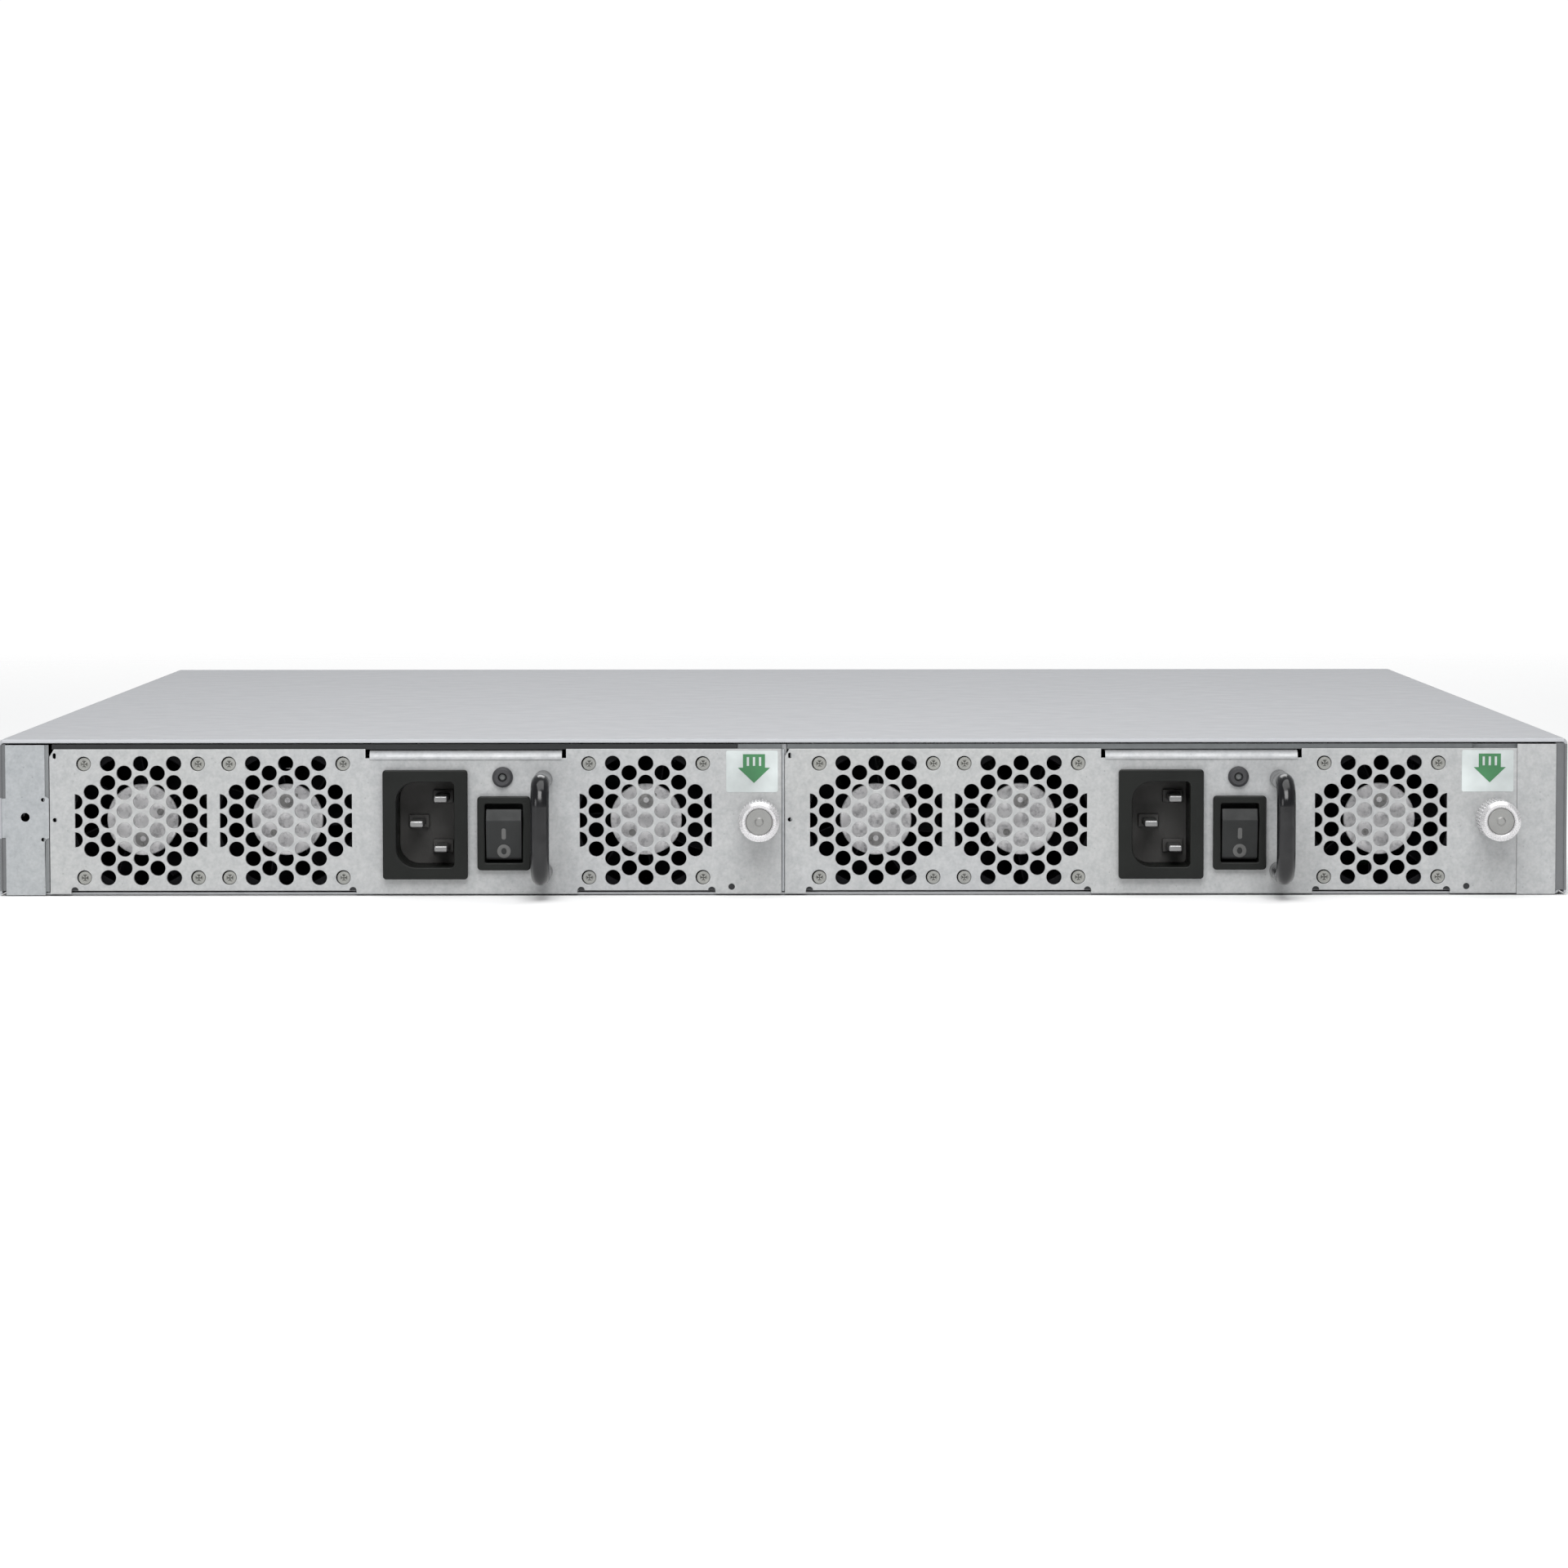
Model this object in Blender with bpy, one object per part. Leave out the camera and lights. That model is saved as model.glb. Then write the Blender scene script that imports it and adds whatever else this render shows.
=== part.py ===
"""One-unit rackmount network switch with two withdrawable power-and-fan modules.

Lengths are in metres. +X is to the right when facing the module side, +Y runs from the module side to
the port side, and +Z is up. The origin is the centre of the chassis' bottom face. Both modules are drawn
by one function, in a frame whose X starts at the left edge of the module's faceplate.
"""

import math

import bmesh
import bpy
from mathutils import Matrix, Vector

# Whole chassis
WIDTH = 0.440
DEPTH = 0.443
HEIGHT = 0.044
MODULE_SIDE = -DEPTH / 2
PORT_SIDE = DEPTH / 2
CLEAR = 0.0003
JOIN_DEPTH = 0.001

# Sheet metal of the chassis
FLOOR_SHEET = 0.0008
COVER_SHEET = 0.0012
SKIRT_SHEET = 0.0010
WALL_OUTER_X = 0.2183
WALL_INNER_X = 0.2175
WALL_TOP = 0.0424
LEFT_FLANGE_END = -0.2060
RIGHT_FLANGE_END = 0.2062
FLANGE_HOLE_X = -0.2127
MID_HEIGHT = 0.0220
RAIL_HOLE_RADIUS = 0.0021
RAIL_HOLE_Y = (-0.190, 0.000, 0.190)
TAB_FACE_Y = -0.2192
TAB_START_X = 0.1915
FLANGE_HOLE_RADIUS = 0.0013
HOLE_OVERRUN = 0.0020
DIVIDER_LEFT_X = -0.0154
DIVIDER_RIGHT_X = 0.0011
DIVIDER_END_Y = -0.0200
DIVIDER_Z = (FLOOR_SHEET + CLEAR, WALL_TOP)
STANDOFF_RADIUS = 0.0028
STANDOFF_X = (-0.200, -0.005, 0.200)
STANDOFF_Y = (0.025, 0.130)

# Main board and what stands on it
PANEL_SHEET = 0.0015
BOARD_X = (-0.2150, 0.2150)
BOARD_BOTTOM = 0.0068
BOARD_TOP = 0.0084
BOARD_START_Y = -0.0040
BOARD_END_Y = 0.2190
ON_BOARD = BOARD_TOP + CLEAR
CHIP_X = (-0.022, 0.022)
CHIP_Y = (0.085, 0.129)
CHIP_TOP = ON_BOARD + 0.0030
HEATSINK_MARGIN = 0.018
HEATSINK_BASE = 0.0040
HEATSINK_TOP = 0.0400
HEATSINK_FINS = 11
FIN_SHEET = 0.0016
PLUG_CENTRE_X = 0.120
PLUG_HALF_WIDTH = 0.020
PLUG_Z = (ON_BOARD + 0.0040, ON_BOARD + 0.0058)
PLUG_END_Y = -0.0045
SOCKET_Y = (-0.0130, 0.0080)
SOCKET_HALF_WIDTH = 0.024
SOCKET_HEIGHT = 0.0100

# Port side
CAGE_CENTRES_X = (0.062, -0.026)
CAGE_COLUMNS = 5
PORT_PITCH = 0.01425
PORT_WIDTH = 0.01365
PORT_HEIGHT = 0.0087
CAGE_WALL = 0.0010
CAGE_WEB = 0.0043
CAGE_FACE_Y = 0.2213
CAGE_LENGTH = 0.048
PORT_LENGTH = 0.046
JACK_CENTRES_X = {"management_jack": 0.196, "console_jack": 0.176}
JACK_WIDTH = 0.0159
JACK_Z = (ON_BOARD, ON_BOARD + 0.0134)
JACK_LENGTH = 0.018
JACK_MOUTH_WIDTH = 0.0119
JACK_MOUTH_LENGTH = 0.0130
JACK_MOUTH_Z = (JACK_Z[0] + 0.0017, JACK_Z[0] + 0.0098)
LATCH_NOTCH_HALF_WIDTH = 0.0031
LATCH_NOTCH_TOP = JACK_Z[0] + 0.0119
USB_CENTRE_X = 0.156
USB_WIDTH = 0.0144
USB_Z = (ON_BOARD, ON_BOARD + 0.0072)
USB_LENGTH = 0.018
USB_SHELL = 0.0010
STATUS_LIGHTS_X = (0.166, 0.176, 0.186)
STATUS_LIGHTS_Z = 0.0310
STATUS_LIGHT_RADIUS = 0.0014
LIGHT_BAR_LENGTH = 0.0064
LIGHT_BAR_MARGIN = (0.003, 0.002)
VENT_FIELDS_X = ((-0.206, -0.074), (0.106, 0.142))
VENT_PITCH = 0.006
VENT_WIDTH = 0.0030
VENT_ROWS_Z = ((0.0060, 0.0180), (0.0230, 0.0350))

# Module envelope, X measured from the left edge of its faceplate
MODULE_LEFTS_X = (-0.2058, 0.00055)
PLATE_WIDTH = 0.2054
PLATE_SHEET = 0.0015
PLATE_BOTTOM = 0.0013
PLATE_TOP = 0.0411
PLATE_BACK_Y = MODULE_SIDE + PLATE_SHEET
MODULE_END_Y = -0.0165
TRAY_LEFT = 0.0015
TRAY_RIGHT = 0.1893
TRAY_SHEET = 0.0008
TRAY_BOTTOM = 0.0011
TRAY_WALL_TOP = 0.0412
BULKHEAD_X = 0.0880
LID_Z = (0.0415, 0.0423)

# Power supply
POWER_BOARD_Z = (0.0052, 0.0068)
ON_POWER_BOARD = POWER_BOARD_Z[1] + CLEAR
POWER_BOARD_Y = (-0.182, -0.0205)
POWER_BOARD_MARGIN = 0.003
BOARD_POST_RADIUS = 0.0025
BOARD_POST_X = (0.096, 0.182)
BOARD_POST_Y = (-0.150, -0.030)
CORE_X, CORE_Y, CORE_TOP = (0.1240, 0.1560), (-0.1100, -0.0800), 0.0330
WINDING_X, WINDING_Y = (0.1290, 0.1510), (-0.1140, -0.0760)
WINDING_SETBACK = 0.0040
CAPACITOR_CENTRE = (0.1130, -0.1450)
CAPACITOR_RADIUS = 0.0150
CAPACITOR_TOP = 0.0390
COOLER_X, COOLER_Y, COOLER_TOP = (0.1400, 0.1780), (-0.0680, -0.0340), 0.0360
COOLER_BASE = 0.003
COOLER_FINS = 8
PLUG_BLOCK_Y = (-0.0320, SOCKET_Y[0] - 2 * CLEAR)
PLUG_TONGUE_START_Y = -0.0180

# Fans
FAN_CENTRES_X = (0.0256, 0.0663, 0.1673)
FAN_CENTRE_Z = 0.0210
FAN_SIZE = 0.0396
FAN_FRONT_Y = PLATE_BACK_Y + CLEAR
FAN_LENGTH = 0.028
FAN_BORE_RADIUS = 0.0188
FAN_CORNER_RADIUS = 0.0030
MOTOR_RADIUS = 0.0070
SPIDER_RADIUS = 0.0090
SPIDER_LENGTH = 0.0038
SPIDER_ARM = 0.0024
SPIDER_OVERLAP = 0.0004
HUB_RADIUS = 0.0097
HUB_FACE_Y = FAN_FRONT_Y + 0.0032
HUB_LENGTH = 0.0200
HUB_SKIN = 0.0015
HUB_CHAMFER = 0.0008
MOTOR_FACE_Y = HUB_FACE_Y + HUB_SKIN + 0.002
SHAFT_RADIUS = 0.0015
BEARING_RADIUS = 0.0018
BEARING_FLOOR = 0.0012
BLADES = 7
BLADE_TIP_RADIUS = 0.0180
BLADE_SHEET = 0.0011
BLADE_Y = (0.0012, HUB_LENGTH - 0.0015)
BLADE_SWEEP = {HUB_RADIUS - HUB_SKIN / 2: 0.42, BLADE_TIP_RADIUS: 0.34}

# Grille in front of each fan: columns of holes on a hexagonal grid
HOLE_PITCH = 0.00535
HOLE_RADIUS = 0.00215
HOLE_SIDES = 6
COLUMN_PITCH = HOLE_PITCH * math.cos(math.radians(30))
HOLES_IN_COLUMN = {0: 7, 1: 6, 2: 7, 3: 4}
HALF_HOLE_COLUMN = 4
HALF_HOLES = 3

# What the faceplate carries
INLET_X = (0.0936, 0.1174)
INLET_Z = (0.0046, 0.0353)
INLET_LIP = 0.0016
INLET_FLANGE = 0.0022
INLET_LENGTH = 0.0200
INLET_CAVITY_LENGTH = 0.0165
INLET_CAVITY_HALF = (0.0081, 0.0120)
INLET_CHAMFER = 0.0052
PIN_TIP_SETBACK = 0.0025
PIN_HALF = (0.0020, 0.0010)
EARTH_PIN = (-0.0026, 0.0)
LIVE_PINS = ((0.0042, 0.0070), (0.0042, -0.0070))
SWITCH_X = (0.1201, 0.1350)
SWITCH_Z = (0.0071, 0.0279)
SWITCH_LIP = 0.0012
SWITCH_FLANGE = 0.0018
SWITCH_LENGTH = 0.0150
SWITCH_MOUTH_LENGTH = 0.0090
ROCKER_WIDTH = 0.0100
ROCKER_HALF_HEIGHT = 0.0077
ROCKER_TILT = math.radians(9)
ROCKER_PIVOT_SETBACK = 0.0030
ROCKER_END = (-0.0034, 0.0071)
ROCKER_VALLEY_Y = -0.0031
ROCKER_HEEL = (0.0044, 0.0058)
HEEL_ANGLES = (0.4, 1.0, 1.57, 2.14, 2.74)
LED_X = 0.1272
LED_Z = 0.0332
LED_RADIUS = 0.0029
LED_BARREL_RADIUS = 0.0020
LED_REACH = 0.0016
LED_LENGTH = 0.0055
HANDLE_X = 0.1386
HANDLE_Z = (0.0040, 0.0353)
HANDLE_REACH = 0.0262
HANDLE_RADIUS = 0.0026
HANDLE_PEG_RADIUS = 0.0017
HANDLE_PEG_END_Y = PLATE_BACK_Y + 0.003
HANDLE_BEND_RADIUS = 0.0060
HANDLE_SIDES = 10
BEND_STEPS = 4

# Thumbscrew. Y in KNOB_* is measured from the faceplate's front.
SCREW_X = 0.1992
SCREW_Z = 0.0215
NUT_HOLE_RADIUS = 0.0018
FERRULE_BARREL_RADIUS = 0.0036
FERRULE_LENGTH = 0.0060
FERRULE_FLANGE_RADIUS = 0.0040
FERRULE_FLANGE_START_Y = MODULE_SIDE - 0.0012
FERRULE_BORE_RADIUS = 0.0018
KNOB_RADIUS = 0.0057
KNOB_CHAMFER = 0.0012
KNOB_SKIRT_Y = -0.0016
KNOB_CAVITY_RADIUS = 0.0043
KNOB_REACH = 0.0145
KNOB_SIDES = 16
SCREW_RADIUS = 0.0015
SCREW_TIP_Y = -0.2150
WASHER_THICKNESS = 0.0006

# Finishes: material name, colour, roughness and metallic
STEEL_PAINT = ("silver_paint", (0.62, 0.63, 0.65), 0.42, 0.35)
PLATE_PAINT = ("plate_paint", (0.56, 0.57, 0.58), 0.45, 0.35)
ZINC = ("zinc_steel", (0.55, 0.56, 0.57), 0.38, 0.90)
BLACK_PLASTIC = ("black_plastic", (0.020, 0.020, 0.022), 0.50, 0.0)
FAN_PLASTIC = ("fan_plastic", (0.012, 0.012, 0.013), 0.45, 0.0)
BLACK_COAT = ("black_coat", (0.015, 0.015, 0.017), 0.22, 0.0)
NICKEL = ("nickel", (0.75, 0.75, 0.76), 0.25, 1.0)
CIRCUIT_BOARD = ("circuit_board", (0.02, 0.13, 0.06), 0.45, 0.0)
ALUMINIUM = ("aluminium", (0.72, 0.73, 0.74), 0.35, 1.0)
CHIP = ("chip", (0.03, 0.03, 0.035), 0.55, 0.0)
COPPER_TAPE = ("winding_tape", (0.75, 0.60, 0.12), 0.50, 0.0)
CAPACITOR_SLEEVE = ("capacitor_sleeve", (0.03, 0.04, 0.08), 0.35, 0.0)
LIGHT_PIPE = ("light_pipe", (0.85, 0.88, 0.86), 0.15, 0.0)


def clear_scene():
    for item in list(bpy.data.objects):
        bpy.data.objects.remove(item, do_unlink=True)


def material(finish):
    name, colour, roughness, metallic = finish
    found = bpy.data.materials.get(name)
    if found:
        return found
    made = bpy.data.materials.new(name)
    made.use_nodes = True
    shader = made.node_tree.nodes["Principled BSDF"]
    shader.inputs["Base Color"].default_value = (*colour, 1.0)
    shader.inputs["Roughness"].default_value = roughness
    shader.inputs["Metallic"].default_value = metallic
    return made


# Shapes. Each returns a function that draws one closed shape into a bmesh.


def prism(axis, outline, start, end):
    """An outline extruded along an axis. Its points are (y, z) for X, (x, z) for Y and (x, y) for Z."""
    place = {
        "X": lambda u, v, w: (w, u, v),
        "Y": lambda u, v, w: (u, w, v),
        "Z": lambda u, v, w: (u, v, w),
    }[axis]

    def draw(mesh):
        first = [mesh.verts.new(place(u, v, start)) for u, v in outline]
        last = [mesh.verts.new(place(u, v, end)) for u, v in outline]
        faces = [mesh.faces.new(first), mesh.faces.new(last)]
        for i in range(len(outline)):
            j = (i + 1) % len(outline)
            faces.append(mesh.faces.new((first[i], first[j], last[j], last[i])))
        bmesh.ops.recalc_face_normals(mesh, faces=faces)

    return draw


def box(x, y, z):
    """A cuboid from its (low, high) extents."""
    return prism("Y", [(x[0], z[0]), (x[1], z[0]), (x[1], z[1]), (x[0], z[1])], *y)


def polygon(centre, radius, sides, turn=0.0):
    steps = [turn + 2 * math.pi * i / sides for i in range(sides)]
    return [(centre[0] + radius * math.cos(a), centre[1] + radius * math.sin(a)) for a in steps]


def rod(axis, centre, radius, start, end, sides=12):
    return prism(axis, polygon(centre, radius, sides, math.pi / sides), start, end)


def turned(centre, profile, sides):
    """A profile of (radius, y) points, from axis to axis, turned about the Y axis through centre."""

    def draw(mesh):
        rings = []
        for radius, y in profile:
            if radius == 0.0:
                rings.append([mesh.verts.new((centre[0], y, centre[1]))])
            else:
                ring = polygon(centre, radius, sides)
                rings.append([mesh.verts.new((x, y, z)) for x, z in ring])
        faces = []
        for near, far in zip(rings, rings[1:]):
            for i in range(sides):
                j = (i + 1) % sides
                corners = [near[i % len(near)], near[j % len(near)], far[j % len(far)], far[i % len(far)]]
                faces.append(mesh.faces.new(list(dict.fromkeys(corners))))
        bmesh.ops.recalc_face_normals(mesh, faces=faces)

    return draw


def hull(corners):
    """The convex solid around a list of points."""

    def draw(mesh):
        points = [mesh.verts.new(corner) for corner in corners]
        made = bmesh.ops.convex_hull(mesh, input=points)
        faces = [item for item in made["geom"] if isinstance(item, bmesh.types.BMFace)]
        bmesh.ops.recalc_face_normals(mesh, faces=faces)

    return draw


# Objects


def drawn(name, shapes, origin):
    """An object whose mesh holds every shape, drawn round its own origin."""
    mesh = bmesh.new()
    for draw in shapes:
        draw(mesh)
    bmesh.ops.translate(mesh, verts=mesh.verts, vec=-Vector(origin))
    data = bpy.data.meshes.new(name)
    mesh.to_mesh(data)
    mesh.free()
    made = bpy.data.objects.new(name, data)
    bpy.context.collection.objects.link(made)
    made.location = origin
    return made


def hold(child, parent):
    """Parents child at the place it already has in the parent's frame."""
    child.parent = parent
    child.matrix_parent_inverse = Matrix.Identity(4)


def solid(name, finish, shape, joins=(), cuts=(), parent=None, origin=(0, 0, 0), smooth=False):
    """One node: a shape, with the joins united to it and then the cuts taken out of it."""
    made = drawn(name, [shape], origin)
    made.data.materials.append(material(finish))
    if smooth:
        made.data.shade_smooth()
        made.data.set_sharp_from_angle(angle=math.radians(35))
    if parent:
        hold(made, parent)
    if joins:
        combine(made, "UNION", joins)
    if cuts:
        combine(made, "DIFFERENCE", cuts)
    return made


def combine(made, operation, shapes):
    """Adds a Boolean of these shapes to an object, which keeps them on a hidden tool beside it."""
    step = len(made.modifiers) + 1
    tool = drawn(f"{made.name}_tool_{step}", shapes, made.location)
    tool.hide_render = True
    tool.display_type = "WIRE"
    if made.parent:
        hold(tool, made.parent)
    modifier = made.modifiers.new(f"{operation.title()} {step}", "BOOLEAN")
    modifier.operation = operation
    modifier.solver = "EXACT"
    modifier.use_self = True
    modifier.object = tool


def empty(name, location, parent=None):
    made = bpy.data.objects.new(name, None)
    bpy.context.collection.objects.link(made)
    made.location = location
    if parent:
        hold(made, parent)
    return made


# Chassis


def chassis_base():
    """The pan: floor, side walls, the flanges beside the modules, and the tab that takes a thumbscrew."""
    end_y = PORT_SIDE - PANEL_SHEET - CLEAR
    pan = [
        (-WALL_OUTER_X, 0.0),
        (WALL_OUTER_X, 0.0),
        (WALL_OUTER_X, WALL_TOP),
        (WALL_INNER_X, WALL_TOP),
        (WALL_INNER_X, FLOOR_SHEET),
        (-WALL_INNER_X, FLOOR_SHEET),
        (-WALL_INNER_X, WALL_TOP),
        (-WALL_OUTER_X, WALL_TOP),
    ]
    flange_y = (MODULE_SIDE, MODULE_SIDE + FLOOR_SHEET)
    flange_z = (FLOOR_SHEET / 2, WALL_TOP)
    middle_of_wall = (WALL_INNER_X + WALL_OUTER_X) / 2
    joins = [
        box((-middle_of_wall, LEFT_FLANGE_END), flange_y, flange_z),
        box((RIGHT_FLANGE_END, middle_of_wall), flange_y, flange_z),
        box((TAB_START_X, middle_of_wall), (TAB_FACE_Y, TAB_FACE_Y + FLOOR_SHEET), flange_z),
    ]
    for x in STANDOFF_X:
        for y in STANDOFF_Y:
            joins.append(rod("Z", (x, y), STANDOFF_RADIUS, FLOOR_SHEET / 2, BOARD_BOTTOM - CLEAR, 8))
    screw_x = MODULE_LEFTS_X[1] + SCREW_X
    cuts = [
        front_hole((FLANGE_HOLE_X, MID_HEIGHT), FLANGE_HOLE_RADIUS, MODULE_SIDE),
        front_hole((screw_x, SCREW_Z), NUT_HOLE_RADIUS, TAB_FACE_Y),
    ]
    cuts += rail_holes()
    solid("chassis_base", ZINC, prism("Y", pan, MODULE_SIDE, end_y), joins, cuts)


def front_hole(centre, radius, face_y):
    """The cutter for a hole in a sheet whose front is at face_y."""
    return rod("Y", centre, radius, face_y - CLEAR, face_y + HOLE_OVERRUN, 8)


def rail_holes():
    """Screw holes for rack rails, through the cover's skirts and the pan's walls."""
    reach = (WALL_INNER_X - CLEAR, WIDTH / 2 + CLEAR)
    holes = []
    for y in RAIL_HOLE_Y:
        holes.append(rod("X", (y, MID_HEIGHT), RAIL_HOLE_RADIUS, *reach, 8))
        holes.append(rod("X", (y, MID_HEIGHT), RAIL_HOLE_RADIUS, -reach[1], -reach[0], 8))
    return holes


def top_cover():
    """A sheet over the whole chassis, folded down both sides."""
    half = WIDTH / 2
    inner = half - SKIRT_SHEET
    outline = [
        (-half, CLEAR),
        (-inner, CLEAR),
        (-inner, HEIGHT - COVER_SHEET),
        (inner, HEIGHT - COVER_SHEET),
        (inner, CLEAR),
        (half, CLEAR),
        (half, HEIGHT),
        (-half, HEIGHT),
    ]
    solid("top_cover", STEEL_PAINT, prism("Y", outline, MODULE_SIDE, PORT_SIDE), cuts=rail_holes())


def cage_extents():
    """Height range of the cages and the two height ranges of their ports."""
    lower = ON_BOARD + CAGE_WALL
    upper = lower + PORT_HEIGHT + CAGE_WEB
    top = upper + PORT_HEIGHT + CAGE_WALL
    return (ON_BOARD, top), ((lower, lower + PORT_HEIGHT), (upper, upper + PORT_HEIGHT))


def cage_half_width():
    return CAGE_COLUMNS * PORT_PITCH / 2 + CAGE_WALL / 2


def wider(low, high, by=CLEAR):
    return (low - by, high + by)


def port_panel():
    """The sheet that closes the port side, cut out for each connector and for air."""
    sheet_y = (PORT_SIDE - PANEL_SHEET, PORT_SIDE)
    cut_y = wider(*sheet_y)
    cage_z, _ = cage_extents()
    cuts = []
    for x in CAGE_CENTRES_X:
        cuts.append(box(wider(x - cage_half_width(), x + cage_half_width()), cut_y, wider(*cage_z)))
    for x in JACK_CENTRES_X.values():
        cuts.append(box(wider(*jack_x(x)), cut_y, wider(*JACK_Z)))
    cuts.append(box(wider(*usb_x()), cut_y, wider(*USB_Z)))
    for x in STATUS_LIGHTS_X:
        cuts.append(rod("Y", (x, STATUS_LIGHTS_Z), STATUS_LIGHT_RADIUS + CLEAR, *cut_y, 8))
    for start, end in VENT_FIELDS_X:
        for i in range(int((end - start) / VENT_PITCH)):
            x = start + (i + 0.5) * VENT_PITCH
            for row in VENT_ROWS_Z:
                cuts.append(box((x - VENT_WIDTH / 2, x + VENT_WIDTH / 2), cut_y, row))
    panel = box((-WALL_OUTER_X, WALL_OUTER_X), sheet_y, (FLOOR_SHEET / 2, WALL_TOP))
    solid("port_panel", PLATE_PAINT, panel, cuts=cuts)


def sfp_cage(number, centre_x):
    """A metal cage of two rows of ports, open on the port side."""
    half = cage_half_width()
    cage_z, rows = cage_extents()
    pockets = []
    for column in range(CAGE_COLUMNS):
        x = centre_x + (column - (CAGE_COLUMNS - 1) / 2) * PORT_PITCH
        for row in rows:
            pockets.append(
                box(
                    (x - PORT_WIDTH / 2, x + PORT_WIDTH / 2),
                    (CAGE_FACE_Y - PORT_LENGTH, CAGE_FACE_Y + CLEAR),
                    row,
                )
            )
    cage = box((centre_x - half, centre_x + half), (CAGE_FACE_Y - CAGE_LENGTH, CAGE_FACE_Y), cage_z)
    solid(f"sfp_cage_{number}", NICKEL, cage, cuts=pockets)


def jack_x(centre):
    return (centre - JACK_WIDTH / 2, centre + JACK_WIDTH / 2)


def usb_x():
    return (USB_CENTRE_X - USB_WIDTH / 2, USB_CENTRE_X + USB_WIDTH / 2)


def modular_jack(name, centre_x):
    """A shielded network socket: a rectangular mouth with the notch for the plug's latch above it."""
    half, notch, top = JACK_MOUTH_WIDTH / 2, LATCH_NOTCH_HALF_WIDTH, LATCH_NOTCH_TOP
    low, shoulder = JACK_MOUTH_Z
    mouth = [
        (centre_x - half, low),
        (centre_x + half, low),
        (centre_x + half, shoulder),
        (centre_x + notch, shoulder),
        (centre_x + notch, top),
        (centre_x - notch, top),
        (centre_x - notch, shoulder),
        (centre_x - half, shoulder),
    ]
    body = box(jack_x(centre_x), (CAGE_FACE_Y - JACK_LENGTH, CAGE_FACE_Y), JACK_Z)
    cut = prism("Y", mouth, CAGE_FACE_Y - JACK_MOUTH_LENGTH, CAGE_FACE_Y + CLEAR)
    solid(name, NICKEL, body, cuts=[cut])


def usb_port():
    shell, x, z = USB_SHELL, usb_x(), USB_Z
    body = box(x, (CAGE_FACE_Y - USB_LENGTH, CAGE_FACE_Y), z)
    mouth_y = (CAGE_FACE_Y - USB_LENGTH + 2 * shell, CAGE_FACE_Y + CLEAR)
    mouth = box((x[0] + shell, x[1] - shell), mouth_y, (z[0] + shell, z[1] - shell))
    solid("usb_port", NICKEL, body, cuts=[mouth])


def status_light_pipe():
    """A clear bar behind the panel with one stub for each status light."""
    end_y = PORT_SIDE - PANEL_SHEET - CLEAR
    side, rise = LIGHT_BAR_MARGIN
    bar_x = (STATUS_LIGHTS_X[0] - side, STATUS_LIGHTS_X[-1] + side)
    stubs = [
        rod("Y", (x, STATUS_LIGHTS_Z), STATUS_LIGHT_RADIUS, end_y - JOIN_DEPTH, CAGE_FACE_Y, 8)
        for x in STATUS_LIGHTS_X
    ]
    bar = box(bar_x, (end_y - LIGHT_BAR_LENGTH, end_y), wider(STATUS_LIGHTS_Z, STATUS_LIGHTS_Z, rise))
    solid("status_light_pipe", LIGHT_PIPE, bar, stubs)


def main_board():
    solid(
        "main_board",
        CIRCUIT_BOARD,
        box(BOARD_X, (BOARD_START_Y, BOARD_END_Y), (BOARD_BOTTOM, BOARD_TOP)),
    )


def switch_chip_and_heatsink():
    solid("switch_chip", CHIP, box(CHIP_X, CHIP_Y, (ON_BOARD, CHIP_TOP)))
    x = (CHIP_X[0] - HEATSINK_MARGIN, CHIP_X[1] + HEATSINK_MARGIN)
    y = (CHIP_Y[0] - HEATSINK_MARGIN, CHIP_Y[1] + HEATSINK_MARGIN)
    bottom = CHIP_TOP + CLEAR
    outline = finned_outline(x, bottom, bottom + HEATSINK_BASE, HEATSINK_TOP, HEATSINK_FINS)
    solid("switch_heatsink", ALUMINIUM, prism("Y", outline, *y))


def finned_outline(x, bottom, root, top, fins):
    """The comb-shaped end of a heatsink whose fins run along Y."""
    pitch = (x[1] - x[0] - FIN_SHEET) / (fins - 1)
    points = [(x[0], bottom), (x[1], bottom)]
    for i in reversed(range(fins)):
        left = x[0] + i * pitch
        right = left + FIN_SHEET
        points += [(right, root), (right, top), (left, top), (left, root)]
    points.remove((x[0] + (fins - 1) * pitch + FIN_SHEET, root))
    points.remove((x[0], root))
    return points


def bay_divider():
    """The channel between the two bays, whose web takes the left module's thumbscrew."""
    left, right, sheet = DIVIDER_LEFT_X, DIVIDER_RIGHT_X, FLOOR_SHEET
    outline = [
        (left, TAB_FACE_Y),
        (right, TAB_FACE_Y),
        (right, DIVIDER_END_Y),
        (right - sheet, DIVIDER_END_Y),
        (right - sheet, TAB_FACE_Y + sheet),
        (left + sheet, TAB_FACE_Y + sheet),
        (left + sheet, DIVIDER_END_Y),
        (left, DIVIDER_END_Y),
    ]
    screw_x = MODULE_LEFTS_X[0] + SCREW_X
    hole = front_hole((screw_x, SCREW_Z), NUT_HOLE_RADIUS, TAB_FACE_Y)
    solid("bay_divider", ZINC, prism("Z", outline, *DIVIDER_Z), cuts=[hole])


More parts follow.
